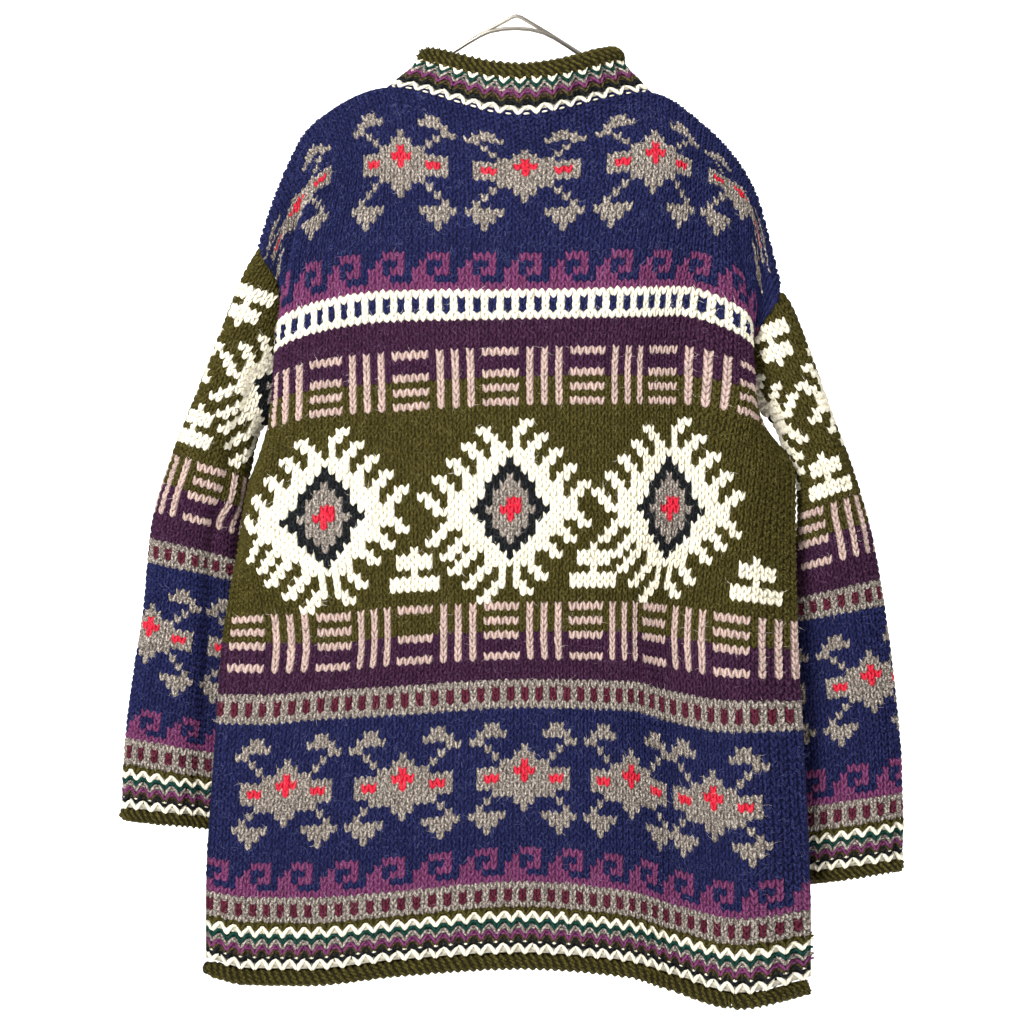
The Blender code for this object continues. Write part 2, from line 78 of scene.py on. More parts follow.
# row, then x, z and y (back) at the stations; then the front's y at the seam, at 6, 14 and
# 26 stitches and at the middle.
BODY_SECTIONS = (
    ("hem", -RIB_ROWS,
     (-252, -217, -171, -96, 1, 91, 128, 182, 239),
     (-763, -770, -770, -762, -756, -763, -775, -789, -778),
     (2, -16, -28, -36, -38, -35, -20, -30, 2), (2, 18, 27, 33, 35)),
    ("ladder_low", 2,
     (-252, -216, -171, -96, 2, 91, 128, 182, 239),
     (-718, -723, -723, -717, -709, -717, -729, -740, -734),
     (2, -16, -28, -37, -39, -36, -19, -30, 2), (2, 18, 27, 34, 36)),
    ("ladder_mid", 30,
     (-243, -208, -161, -93, 4, 90, 124, 176, 232),
     (-561, -561, -557, -553, -547, -549, -558, -566, -566),
     (2, -17, -29, -39, -41, -38, -20, -30, 2), (2, 18, 28, 35, 37)),
    ("bars_low", 39,
     (-239, -203, -155, -90, 2, 89, 120, 176, 229),
     (-507, -507, -507, -501, -497, -497, -501, -509, -513),
     (3, -16, -29, -40, -42, -39, -22, -29, 3), (3, 19, 29, 37, 39)),
    ("diamonds", 55.45,
     (-225, -213, -165, -92, 4, 92, 131, 183, 227),
     (-428, -416, -407, -403, -399, -398, -399, -408, -420),
     (14, -14, -28, -41, -44, -41, -29, -26, 12), (14, 30, 37, 42, 44)),
    ("below_arm", 63.7,
     (-217, -206, -163, -93, 3, 92, 130, 189, 227),
     (-380, -365, -355, -350, -346, -345, -345, -356, -372),
     (16, -9, -26, -41, -45, -41, -31, -20, 16), (16, 34, 42, 47, 49)),
    ("underarm", UNDERARM_ROW,
     (-190, -198, -162, -94, 2, 92, 129, 192, 195),
     (-331, -313, -302, -297, -292, -291, -291, -304, -323),
     (38, 6, -22, -40, -45, -41, -32, -6, 38), (38, 47, 51, 53, 54)),
    ("ladder_high", 83,
     (-184, -194, -162, -96, 2, 97, 134, 190, 190),
     (-271, -261, -244, -235, -234, -232, -231, -257, -277),
     (24, 2, -21, -38, -43, -39, -30, -4, 24), (52, 52, 52, 53, 54)),
    ("scroll_high", 90,
     (-190, -189, -162, -96, 2, 100, 141, 189, 198),
     (-226, -210, -199, -192, -193, -190, -191, -213, -251),
     (8, -6, -20, -36, -42, -37, -27, -7, 8), (50, 49, 49, 50, 52)),
    ("yoke", YOKE_ROW,
     (-201, -184, -149, -96, 4, 110, 146, 187, 208),
     (-203, -164, -126, -117, -126, -114, -123, -151, -237),
     (-2, -10, -19, -29, -41, -29, -20, -11, -2), (33, 31, 30, 36, 48)),
    ("shoulder_turn", 109.4,
     (-206, -190, -160, -98, 2, 107, 149, 190, 212),
     (-194, -151, -99, -74, -98, -76, -98, -147, -227),
     (-8, -9, -9, -15, -45, -15, -9, -9, -8), (11, 10, 10, 15, 47)),
    ("shoulder", SHOULDER_ROW,
     (-209, -194, -166, -102, 1, 107, 151, 191, 214),
     (-186, -141, -88, -58, -83, -62, -87, -137, -218),
     (0, 0, 0, -9, -46, -9, 0, 0, 0), (0, 0, 0, 9, 48)),
)
FRONT_NECK_DROP = 38
FRONT_DROP_FROM_ROW = 83

# outer edge x, z; inner edge x, z; nearest and farthest y; how far back the inner edge lies
LEFT_SECTIONS = (
    ("cap", -218, -203, -209, -337, 2, 46, 14),
    ("upper", -240, -256, -214, -352, 0, 58, 11),
    ("biceps", -262, -311, -218, -372, 0, 64, 7),
    ("elbow_high", -280, -356, -223, -400, 4, 66, 5),
    ("elbow", -297, -414, -227, -434, 12, 68, 4),
    ("forearm_high", -304, -482, -226, -500, 20, 70, 3),
    ("forearm", -312, -532, -228, -550, 22, 70, 3),
    ("wrist_high", -318, -578, -231, -594, 23, 70, 3),
    ("wrist", -320, -607, -234, -621, 24, 70, 3),
    ("cuff_end", -321, -642, -242, -651, 26, 67, 3),
)
RIGHT_SECTIONS = (
    ("cap", 223, -235, 213, -336, 2, 46, 14),
    ("upper", 240, -278, 219, -354, 0, 58, 11),
    ("biceps", 257, -325, 229, -376, 0, 64, 7),
    ("elbow_high", 273, -366, 230, -406, 4, 68, 5),
    ("elbow", 289, -420, 226, -440, 14, 70, 4),
    ("forearm_high", 301, -486, 224, -506, 22, 72, 3),
    ("forearm", 308, -540, 222, -560, 23, 72, 3),
    ("wrist_high", 314, -606, 226, -626, 24, 72, 3),
    ("wrist", 315, -650, 229, -664, 24, 72, 3),
    ("cuff_end", 314, -684, 236, -695, 26, 69, 3),
)
# row, height z at the outer edge, and how far the sleeve leans there in degrees
LEFT_ROWS = ((0, -607, 9.2), (4, -585, 10), (9, -560, 11), (31, -442, 12.5), (35, -422.5, 14),
             (39, -401, 16), (47, -354, 18), (76, -199, 20))
RIGHT_ROWS = ((0, -650, 9.2), (4, -630, 8.5), (9, -601, 8.5), (31, -477, 11), (35, -456, 13),
              (39, -433, 15), (47, -386, 18), (76, -223.5, 21))


class Yarn(Enum):
    """The yarns, in the order of their material slots."""

    NAVY = 0
    OLIVE = 1
    PURPLE = 2
    MAGENTA = 3
    CREAM = 4
    BEIGE = 5
    GREY = 6
    RED = 7
    BLACK = 8
    GREEN = 9
    MAROON = 10
    BROWN = 11


class Side(Enum):
    """The two sides of the body and of the pair of sleeves."""

    BACK = "back"
    FRONT = "front"
    LEFT = "left"
    RIGHT = "right"


class Look(Enum):
    """How a yarn's surface is seen."""

    STRAND = "strand"
    CLOTH = "cloth"
    FUZZ = "fuzz"


# --------------------------------------------------------------------------- curves and surfaces
def smooth(knots: Sequence[Number], values: Sequence, wanted: Sequence[Number]) -> np.ndarray:
    """Cubic curve through the knots that never swings past them.

    Args:
        knots: Increasing positions.
        values: One value or array for each knot.
        wanted: Positions at which the curve is read.

    Returns:
        The values at the wanted positions.
    """
    knots = np.asarray(knots, float)
    values = np.asarray(values, float)
    wanted = np.asarray(wanted, float)
    width = np.diff(knots)
    slope = np.diff(values, axis=0) / width.reshape((-1,) + (1,) * (values.ndim - 1))
    tangent = np.zeros_like(values)
    same_way = slope[:-1] * slope[1:] > 0
    total = np.where(same_way, slope[:-1] + slope[1:], 1.0)
    tangent[1:-1] = np.where(same_way, 2.0 * slope[:-1] * slope[1:] / total, 0.0)
    tangent[0] = slope[0]
    tangent[-1] = slope[-1]
    span = np.clip(np.searchsorted(knots, wanted, side="right") - 1, 0, len(width) - 1)
    shape = (-1,) + (1,) * (values.ndim - 1)
    step = width[span].reshape(shape)
    t = (wanted - knots[span]).reshape(shape) / step
    return ((2 * t ** 3 - 3 * t ** 2 + 1) * values[span]
            + (t ** 3 - 2 * t ** 2 + t) * step * tangent[span]
            + (3 * t ** 2 - 2 * t ** 3) * values[span + 1]
            + (t ** 3 - t ** 2) * step * tangent[span + 1])


def unit(vectors: np.ndarray) -> np.ndarray:
    """Vectors of length one."""
    return vectors / np.maximum(np.linalg.norm(vectors, axis=-1, keepdims=True), 1e-9)


@dataclass(frozen=True)
class Crease:
    """A soft trough in the cloth, from one place to another.

    Attributes:
        start: Stitch and row where it begins.
        end: Stitch and row where it ends.
        depth: Millimetres at its deepest; negative for a ridge.
        width: Stitches from its middle to its edge.
    """

    start: tuple[float, float]
    end: tuple[float, float]
    depth: float
    width: float

    def at(self, u: np.ndarray, v: np.ndarray) -> np.ndarray:
        """How deep the trough is at some stitches and rows.

        Args:
            u: Stitches.
            v: Rows.

        Returns:
            Depths in millimetres.
        """
        (u0, v0), (u1, v1) = self.start, self.end
        along_u, along_v = u1 - u0, v1 - v0
        t = ((u - u0) * along_u + (v - v0) * along_v) / (along_u ** 2 + along_v ** 2)
        t = np.clip(t, 0, 1)
        away = np.hypot(u - u0 - t * along_u, v - v0 - t * along_v) / self.width
        return self.depth * np.exp(-away ** 2 * 1.6) * (0.45 + 0.55 * np.sin(math.pi * t))


@dataclass
class KnitSurface:
    """A piece of knitting as points over its stitches and rows, in millimetres.

    Attributes:
        stitches: The grid's stitches, increasing.
        rows: The grid's rows, increasing.
        points: Outer points, one for each row and stitch.
        closed: Whether the last stitch joins the first.
        centre: A point, or points, that the outer side faces away from.
        creases: Troughs pressed into the cloth.
        normals: One for each point, or None to work them out.
        facing: 1, or -1 where the grid runs the other way round.
    """

    stitches: np.ndarray
    rows: np.ndarray
    points: np.ndarray
    closed: bool
    centre: np.ndarray
    creases: Sequence[Crease] = ()
    normals: Optional[np.ndarray] = None
    facing: float = 1.0

    def __post_init__(self) -> None:
        """Work out the normals and press the creases in."""
        if self.normals is not None:
            return
        self.normals = self._normals()
        if np.sum(self.normals * (self.points - self.centre)) < 0:
            self.facing = -1.0
            self.normals = -self.normals
        if self.creases:
            u, v = np.meshgrid(self.stitches, self.rows)
            depth = sum(crease.at(u, v) for crease in self.creases)
            self.points = self.points - self.normals * depth[..., None]
            self.normals = self._normals() * self.facing

    def _normals(self) -> np.ndarray:
        """Normals of the grid, by differences along its stitches and rows.

        Returns:
            One for each point.
        """
        if self.closed:
            ring = self.points[:, :-1]
            across = np.roll(ring, -1, axis=1) - np.roll(ring, 1, axis=1)
            across = np.concatenate((across, across[:, :1]), axis=1)
        else:
            across = np.gradient(self.points, axis=1)
        return unit(np.cross(across, np.gradient(self.points, axis=0)))

    def at(self, u: np.ndarray, v: np.ndarray, height: np.ndarray) -> np.ndarray:
        """Points over the surface.

        Args:
            u: Stitches.
            v: Rows.
            height: Millimetres above the surface.

        Returns:
            Points in metres.
        """
        first, last = self.stitches[0], self.stitches[-1]
        if self.closed:
            u = first + np.mod(u - first, last - first)
        step_u = self.stitches[1] - first
        step_v = self.rows[1] - self.rows[0]
        x = (u - first) / step_u
        y = (v - self.rows[0]) / step_v
        i = np.clip(np.floor(x).astype(int), 0, len(self.stitches) - 2)
        j = np.clip(np.floor(y).astype(int), 0, len(self.rows) - 2)
        s = (x - i)[..., None]
        t = (y - j)[..., None]

        def blend(grid: np.ndarray) -> np.ndarray:
            """Read a grid between its points.

            Args:
                grid: Values by row and stitch.

            Returns:
                The values at the wanted places.
            """
            low = grid[j, i] * (1 - s) + grid[j, i + 1] * s
            high = grid[j + 1, i] * (1 - s) + grid[j + 1, i + 1] * s
            return low * (1 - t) + high * t

        return (blend(self.points) + unit(blend(self.normals)) * height[..., None]) * MM


@dataclass(frozen=True)
class Cut:
    """Where a sleeve's knitting ends on both sides of its outer edge.

    Attributes:
        rows: The rows at which it is measured.
        near: Stitches from the outer edge to the end, on the near side.
        far: The same on the far side.
    """

    rows: np.ndarray
    near: np.ndarray
    far: np.ndarray

    def left_over(self, u: np.ndarray, v: np.ndarray) -> np.ndarray:
        """How many stitches lie between each place and the end of its row.

        Args:
            u: Stitches from the outer edge, negative on the far side.
            v: Rows.

        Returns:
            The stitches left; negative past the end.
        """
        reach = np.where(u >= 0, np.interp(v, self.rows, self.near),
                         np.interp(v, self.rows, self.far))
        return reach - np.abs(u)


def section_ring(section: Sequence, count: int) -> np.ndarray:
    """An oval ring of a sleeve.

    Args:
        section: One line of a sleeve's table.
        count: How many points the ring has.

    Returns:
        The ring's points, from the outer edge past the near side.
    """
    _name, outer_x, outer_z, inner_x, inner_z, near, far, lean = section
    angle = 2 * math.pi * np.arange(count) / count
    along = np.cos(angle)
    return np.stack(((outer_x + inner_x) / 2 + (outer_x - inner_x) / 2 * along,
                     (near + far) / 2 - (far - near) / 2 * np.sin(angle) - lean * along,
                     (outer_z + inner_z) / 2 + (outer_z - inner_z) / 2 * along), axis=-1)


def even_ring(ring: np.ndarray, count: int) -> np.ndarray:
    """The same closed line with points at even distances, rounded between its corners.

    Args:
        ring: The corners.
        count: How many points are wanted; the first is repeated at the end.

    Returns:
        The points.
    """
    closed = np.concatenate((ring, ring[:1]))
    for _ in range(2):
        middle = (closed[:-1] + closed[1:]) / 2
        kept = (np.roll(middle, 1, axis=0) + middle + 2 * closed[:-1]) / 4
        closed = np.stack((kept, middle), axis=1).reshape(-1, 3)
        closed = np.concatenate((closed, closed[:1]))
    length = np.concatenate(((0,), np.cumsum(np.linalg.norm(np.diff(closed, axis=0), axis=1))))
    wanted = np.linspace(0, length[-1], count + 1)
    return np.stack([np.interp(wanted, length, closed[:, axis]) for axis in range(3)], axis=-1)


# --------------------------------------------------------------------------- colour charts
SCROLL = ("..MMM.",
          ".M..M.",
          "MM.MM.",
          "MMM...",
          "MMMMMM")
FLOWER = ("......G......",
          ".....GGG.....",
          "...GGGRGGG...",
          "GGGGGRRRGGGGG",
          "GRRGGGRGGGRRG",
          "GGGGGGGGGGGGG",
          "...GGGGGGG...",
          ".....GGG.....",
          "......G......")
PETAL_ABOVE = ("..GG.",
               ".GGGG",
               "GG...")
PETAL_BELOW = (".G...",
               "GGGGG",
               ".GGG.",
               "..G..")
TREE = ("...W...",
        ".WWWWW.",
        ".WWWWW.",
        "...W...",
        "WWWWWWW",
        "WWWWWWW")
LETTERS = {"M": Yarn.MAGENTA, "G": Yarn.GREY, "R": Yarn.RED, "W": Yarn.CREAM, "B": Yarn.BLACK}
# Stitches beside a flower that link it to its petals: stitch and row below its top.
LINKS_ABOVE = ((5, 0), (4, 1))
LINKS_BELOW = ((4, 6), (5, 7))
# Half widths of a diamond's black and grey rings, from its middle row outwards.
DIAMOND_BLACK = (5, 4, 3, 3, 2, 1, 0)
DIAMOND_GREY = (3, 2, 2, 1, 0)
# Stitches and rows of its heart, from the middle.
DIAMOND_HEART = ((-1, 0), (0, 0), (1, 0), (0, 1), (1, 1), (0, -1))
DIAMOND_REACH = 9
# Which way its barbs point across and up, and how far out and up each one's tip is.
DIAMOND_BARBS = (
    (1, 1, ((3, 11), (5, 9), (7, 7), (9, 5), (11, 3))),
    (-1, 1, ((4, 10), (6, 8), (8, 6), (10, 4), (12, 2))),
    (1, -1, ((3, 11), (5, 9), (7, 6), (9, 4), (11, 2))),
    (-1, -1, ((4, 12), (6, 10), (8, 8), (9, 6), (11, 4))),
)


@dataclass
class Chart:
    """Which yarn each stitch is knitted with.

    Attributes:
        stitches: How many stitches wide the piece is.
        rows: How many rows high it is.
        origin: Which column of cells stitch 0 is.
    """

    stitches: int
    rows: int
    origin: int = 0
    cells: np.ndarray = field(init=False)

    def __post_init__(self) -> None:
        """Start with plain navy."""
        self.cells = np.full((self.rows, self.stitches), Yarn.NAVY.value)

    def set(self, stitch: int, row: int, yarn: Yarn) -> None:
        """Knit one stitch, where it lies on the piece.

        Args:
            stitch: The stitch; none is knitted outside the chart.
            row: Its row.
            yarn: Its yarn.
        """
        column = stitch + self.origin
        if 0 <= column < self.stitches and 0 <= row < self.rows:
            self.cells[row, column] = yarn.value

    def band(self, low: int, high: int, yarn: Yarn) -> None:
        """Knit all rows from low up to high in one yarn."""
        self.cells[max(low, 0):high] = yarn.value

    def ladder(self, low: int, rail: Yarn, rung: Yarn, first: int = 0) -> None:
        """Four rows of rail with pairs of rungs on every second stitch."""
        self.band(low, low + 4, rail)
        self.cells[low + 1:low + 3, (first + self.origin) % 2::2] = rung.value

    def stamp(self, motif: Sequence[str], left: int, top: int, flip: bool = False) -> None:
        """Knit a motif.

        Args:
            motif: Lines of letters from its top row down; a dot leaves the ground.
            left: The stitch of its first letter.
            top: Its top row.
            flip: Whether it is turned left to right.
        """
        for down, line in enumerate(motif):
            for across, letter in enumerate(line[::-1] if flip else line):
                if letter != ".":
                    self.set(left + across, top - down, LETTERS[letter])

    def scroll(self, low: int, start: int, flip: bool = False) -> None:
        """A band of curling hooks, five rows high, each six stitches wide.

        Args:
            low: The band's lowest row.
            start: A stitch at which a hook begins.
            flip: Whether the hooks curl the other way.
        """
        first = start - 6 * ((start + self.origin) // 6 + 1)
        for left in range(first, self.stitches - self.origin, 6):
            self.stamp(SCROLL, left, low + 4, flip)

    def bars(self, top: int, uprights: Iterable[int], lying: Iterable[int],
             levels: Sequence[int]) -> None:
        """Eight rows of upright and lying bars.

        Args:
            top: The band's top row.
            uprights: Stitches of the upright bars.
            lying: First stitches of the lying bars, five stitches long.
            levels: Rows of the lying bars, below the top.
        """
        for stitch in uprights:
            for down in range(8):
                self.set(stitch, top - down, Yarn.BEIGE)
        for left in lying:
            for down in levels:
                for stitch in range(left, left + 5):
                    self.set(stitch, top - down, Yarn.BEIGE)

    def flower(self, middle: int, top: int, drop: int = 0) -> None:
        """A flower with a red heart, four petals and the links between them.

        Args:
            middle: Its middle stitch.
            top: Its top row.
            drop: How many rows farther down its lower petals hang.
        """
        self.stamp(FLOWER, middle - 6, top)
        links = LINKS_ABOVE + tuple((stitch, down + drop) for stitch, down in LINKS_BELOW)
        for side in (-1, 1):
            left = middle + 3 if side > 0 else middle - 7
            self.stamp(PETAL_ABOVE, left, top + 3, side > 0)
            self.stamp(PETAL_BELOW, left, top - 8 - drop, side > 0)
            for stitch, down in links:
                self.set(middle + side * stitch, top - down, Yarn.GREY)

    def diamond(self, middle: int, row: int) -> None:
        """A diamond with a red heart, grey, black and cream rings and cream barbs.

        Args:
            middle: Its middle stitch.
            row: Its middle row.
        """
        for down in range(-DIAMOND_REACH, DIAMOND_REACH + 1):
            far = abs(down)
            for across in range(-DIAMOND_REACH, DIAMOND_REACH + 1):
                out = abs(across)
                if (across, down) in DIAMOND_HEART:
                    yarn = Yarn.RED
                elif far < len(DIAMOND_GREY) and out <= DIAMOND_GREY[far]:
                    yarn = Yarn.GREY
                elif far < len(DIAMOND_BLACK) and out <= DIAMOND_BLACK[far]:
                    yarn = Yarn.BLACK
                elif out + far <= DIAMOND_REACH and (out or far < 8):
                    yarn = Yarn.CREAM
                else:
                    continue
                self.set(middle + across, row + down, yarn)
        for side, level, tips in DIAMOND_BARBS:
            for out, up in tips:
                self.barb(middle, row, side, level, out, up)

    def barb(self, middle: int, row: int, side: int, level: int, out: int, up: int) -> None:
        """One barb of a diamond, from its tip down to the cream ring.

        Args:
            middle: The diamond's middle stitch.
            row: Its middle row.
            side: 1 where the barb points right, or -1.
            level: 1 where it points up, or -1.
            out: Stitches from the middle to its tip.
            up: Rows from the middle to its tip.
        """
        while out + up > DIAMOND_REACH:
            for across in (out, out - 1):
                if across > 0:
                    self.set(middle + side * across, row + level * up, Yarn.CREAM)
            out, up = out - 1, up - 1


def body_chart() -> Chart:
    """The chart of the back, and of the front, which is taken to be like it.

    Returns:
        The chart.
    """
    chart = Chart(PANEL_STITCHES, SHOULDER_ROW)
    chart.ladder(0, Yarn.GREY, Yarn.MAROON)
    chart.scroll(4, 4)
    for middle in (10, 26, 42, 58, 72):
        chart.flower(middle, 22)
    for middle in (7, 26, 42, 58, 74):
        chart.flower(middle, 105, 1)
    chart.ladder(28, Yarn.GREY, Yarn.MAROON)
    chart.band(32, 39, Yarn.PURPLE)
    chart.band(39, 73, Yarn.OLIVE)
    chart.band(73, 81, Yarn.PURPLE)
    uprights = [stitch + more for stitch in range(7, PANEL_STITCHES, 12) for more in (0, 2, 4)]
    lying = range(1, PANEL_STITCHES, 12)
    chart.bars(42, uprights, [left for left in lying if left != 25], (0, 2, 4, 7))
    chart.bars(42, (), (25,), (0, 4, 7))
    chart.bars(76, uprights, lying, (0, 3, 5, 7))
    for middle in (15, 40, 64):
        chart.diamond(middle, 55)
    for middle in (27, 52, 78):
        chart.stamp(TREE, middle - 3, 50)
    chart.ladder(81, Yarn.CREAM, Yarn.NAVY)
    chart.scroll(85, 4)
    return chart


def sleeve_chart(side: Side) -> Chart:
    """The chart of a sleeve; stitch 0 is at the outer edge, the far side is negative.

    Args:
        side: Left or right.

    Returns:
        The chart.
    """
    right = side is Side.RIGHT
    chart = Chart(SLEEVE_REACH * 2, SLEEVE_ROWS + SPARE_ROWS, SLEEVE_REACH)
    chart.ladder(0, Yarn.GREY, Yarn.MAROON, 0 if right else 1)
    chart.scroll(4, 5 if right else 1, right)
    flower = 4 if right else 2
    for middle in (flower - 16, flower, flower + 16):
        chart.flower(middle, 24, 1)
    chart.ladder(31, Yarn.GREY, Yarn.MAROON, 1 if right else 0)
    chart.band(35, 43, Yarn.PURPLE)
    chart.band(43, chart.rows, Yarn.OLIVE)
    base = 2 if right else 0
    uprights = [base + turn + more for turn in (-24, -12, 0, 12) for more in (0, 2, 4)]
    chart.bars(46, uprights, [base + 6 + turn for turn in (-24, -12, 0, 12)], (0, 2, 4, 7))
    tree = 6 if right else 3
    for middle in (tree - 12, tree + 12):
        chart.diamond(middle, 60)
    for middle in (tree - 24, tree):
        chart.stamp(TREE, middle - 3, 53 if right else 54)
        chart.stamp(TREE[::-1], middle - 3, 72)
    return chart


# --------------------------------------------------------------------------- meshes
def add_object(name: str, data: bpy.types.ID) -> bpy.types.Object:
    """Put a new object into the scene, at the origin.

    Args:
        name: Its name.
        data: Its mesh, light or camera.

    Returns:
        The object.
    """
    thing = bpy.data.objects.new(name, data)
    bpy.context.scene.collection.objects.link(thing)
    return thing


def yarn_object(name: str, points: np.ndarray, faces: np.ndarray, yarns: np.ndarray,
                strands: np.ndarray, look: Look) -> bpy.types.Object:
    """Make an object whose faces take the materials of their yarns.

    Args:
        name: The piece's name.
        points: Its points, in metres.
        faces: Its triangles or quads.
        yarns: The yarn number of each face.
        strands: Where each corner of each face lies across and along its strand.
        look: Which look of the yarns it takes.

    Returns:
        The new object, at the origin.
    """
    mesh = bpy.data.meshes.new(name)
    mesh.from_pydata(points, [], faces)
    used = np.unique(yarns)
    slots = np.zeros(len(Yarn), int)
    slots[used] = np.arange(len(used))
    mesh.polygons.foreach_set("material_index", slots[yarns])
    mesh.polygons.foreach_set("use_smooth", np.ones(len(faces), bool))
    mesh.uv_layers.new(name="strand").data.foreach_set("uv", strands.ravel())
    for number in used:
        mesh.materials.append(WOOLS[Yarn(number)].material(look))
    mesh.update()
    return add_object(name, mesh)


@dataclass
class MeshBuilder:
    """Gathers triangles with their yarns and strand coordinates."""

    points: list = field(default_factory=list)
    faces: list = field(default_factory=list)
    yarns: list = field(default_factory=list)
    strands: list = field(default_factory=list)
    count: int = 0

    def add(self, points: np.ndarray, faces: np.ndarray, yarns: np.ndarray,
            strands: np.ndarray, turned: bool = False) -> None:
        """Add copies of one small mesh.

        Args:
            points: Copies by points by three.
            faces: The triangles of one copy.
            yarns: The material of each copy.
            strands: Where each point of one copy lies across and along its strand.
            turned: Whether the triangles are turned over.
        """
        copies, size = points.shape[:2]
        order = faces[:, ::-1] if turned else faces
        start = self.count + np.arange(copies)[:, None, None] * size
        self.points.append(points.reshape(-1, 3))
        self.faces.append((order[None] + start).reshape(-1, 3))
        self.yarns.append(np.repeat(yarns, len(faces)))
        self.strands.append(np.broadcast_to(strands, (copies, size, 2)).reshape(-1, 2))
        self.count += copies * size

    def build(self, name: str, look: Look) -> bpy.types.Object:
        """Make the object.

        Args:
            name: The piece's name.
            look: Which look of the yarns it takes.

        Returns:
            The new object, at the origin.
        """
        faces = np.concatenate(self.faces)
        return yarn_object(name, np.concatenate(self.points), faces,
                           np.concatenate(self.yarns).astype(int),
                           np.concatenate(self.strands)[faces.ravel()], look)


@dataclass(frozen=True)
class Leaf:
    """One visible stretch of strand: a leaf-shaped ridge that dips in at both ends.

    Attributes:
        start: Its lower end, in stitches and rows from the stitch's lower middle.
        end: Its upper end.
        width: Half its width, in stitches.
        crest: How high it stands, in millimetres.
        sink: How far its ends dip below the surface.
        bow: How far its middle bulges sideways, in stitches.
    """

    start: tuple[float, float]
    end: tuple[float, float]
    width: float
    crest: float
    sink: float
    bow: float = 0.0

    STATIONS = ((0.2, 0.86, 0.72), (0.5, 1.0, 1.0), (0.8, 0.84, 0.74))

    def shape(self) -> tuple[np.ndarray, np.ndarray, np.ndarray]:
        """The form of the leaf.

        Returns:
            Its points as stitch, row and height, its triangles and its strand coordinates.
        """
        (a0, b0), (a1, b1) = self.start, self.end
        along = np.array((a1 - a0, b1 - b0))
        side = np.array((along[1], -along[0])) / np.hypot(*along)
        points = [(a0, b0, -self.sink)]
        strands = [(0.0, 0.0)]
        for t, wide, high in self.STATIONS:
            middle = np.array((a0, b0)) + along * t + side * self.bow * math.sin(math.pi * t)
            for edge in (-1, 0, 1):
                spot = middle + side * edge * wide * self.width
                height = self.crest * high if edge == 0 else -self.sink * 0.55
                points.append((spot[0], spot[1], height))
                strands.append((float(edge), t))
        points.append((a1, b1, -self.sink))
        strands.append((0.0, 1.0))
        faces = [(0, 2, 1), (0, 3, 2), (10, 7, 8), (10, 8, 9)]
        for base in (1, 4):
            for step in (0, 1):
                low = base + step
                faces += [(low, low + 1, low + 4), (low, low + 4, low + 3)]
        return np.array(points), np.array(faces), np.array(strands)


LEFT_LEG = Leaf((-0.07, -0.32), (-0.41, 1.04), 0.225, 1.9, 0.9, 0.03)
RIGHT_LEG = Leaf((0.07, -0.32), (0.41, 1.04), 0.225, 1.9, 0.9, -0.03)
PURL_BUMP = Leaf((-0.44, -0.66), (0.44, 0.66), 0.30, 1.7, 1.0, 0.05)
BEAD = Leaf((-0.36, 0.0), (0.36, 0.0), 0.24, 1.7, 0.6, 0.0)


def plant(builder: MeshBuilder, surface: KnitSurface, leaf: Leaf, u: np.ndarray,
          v: np.ndarray, yarns: np.ndarray, seed: int, relief: float = 0.0) -> None:
    """Set one leaf for each stitch on a surface.

    Args:
        builder: Where the leaves go.
        surface: The surface that they stand on.
        leaf: Their form.
        u: Stitch of each leaf's lower middle.
        v: Row of each leaf's lower middle.
        yarns: Yarn number of each leaf.
        seed: Seed of the small unevenness of hand knitting.
        relief: How much higher the knit columns of a rib stand than its purl columns.
    """
    points, faces, strands = leaf.shape()
    chance = np.random.default_rng(seed)
    count = len(u)
    shift = chance.normal(0, 0.035, (count, 2, 1))
    size = 1 + chance.normal(0, 0.06, (count, 1))
    thick = np.where(yarns == Yarn.CREAM.value, 1.14, 1.0)[:, None]
    tilt = chance.normal(0, 0.035, (count, 1))
    a = points[None, :, 0] * size * thick ** 0.5 + shift[:, 0] + tilt * points[None, :, 1]
    b = points[None, :, 1] * size + shift[:, 1]
    high = points[None, :, 2] * np.where(points[None, :, 2] > 0, thick * size, 1.0)
    high = high + relief * np.cos(math.pi / 2 * (u[:, None] + a - 1.0)) ** 2
    placed = surface.at(u[:, None] + a, v[:, None] + b, high)
    flip = surface.facing < 0
    builder.add(placed, faces, yarns, strands, flip)


@dataclass(frozen=True)
class FuzzSize:
    """How the loose fibres of a piece are set.

    Attributes:
        count: How many there are.
        length: Their mean length, in millimetres.
        width: Half their thickness.
        lift: How far their tips stand off.
    """

    count: int
    length: float = 5.0
    width: float = 0.07
    lift: float = 2.6

    # At three places along a fibre: how far, how high, how thick, and the sides of its points.
    STATIONS = ((0.0, 0.25, 1.0, (-1, 1)), (0.5, 0.8, 0.8, (-1, 1)), (1.0, 1.0, 0.0, (1,)))


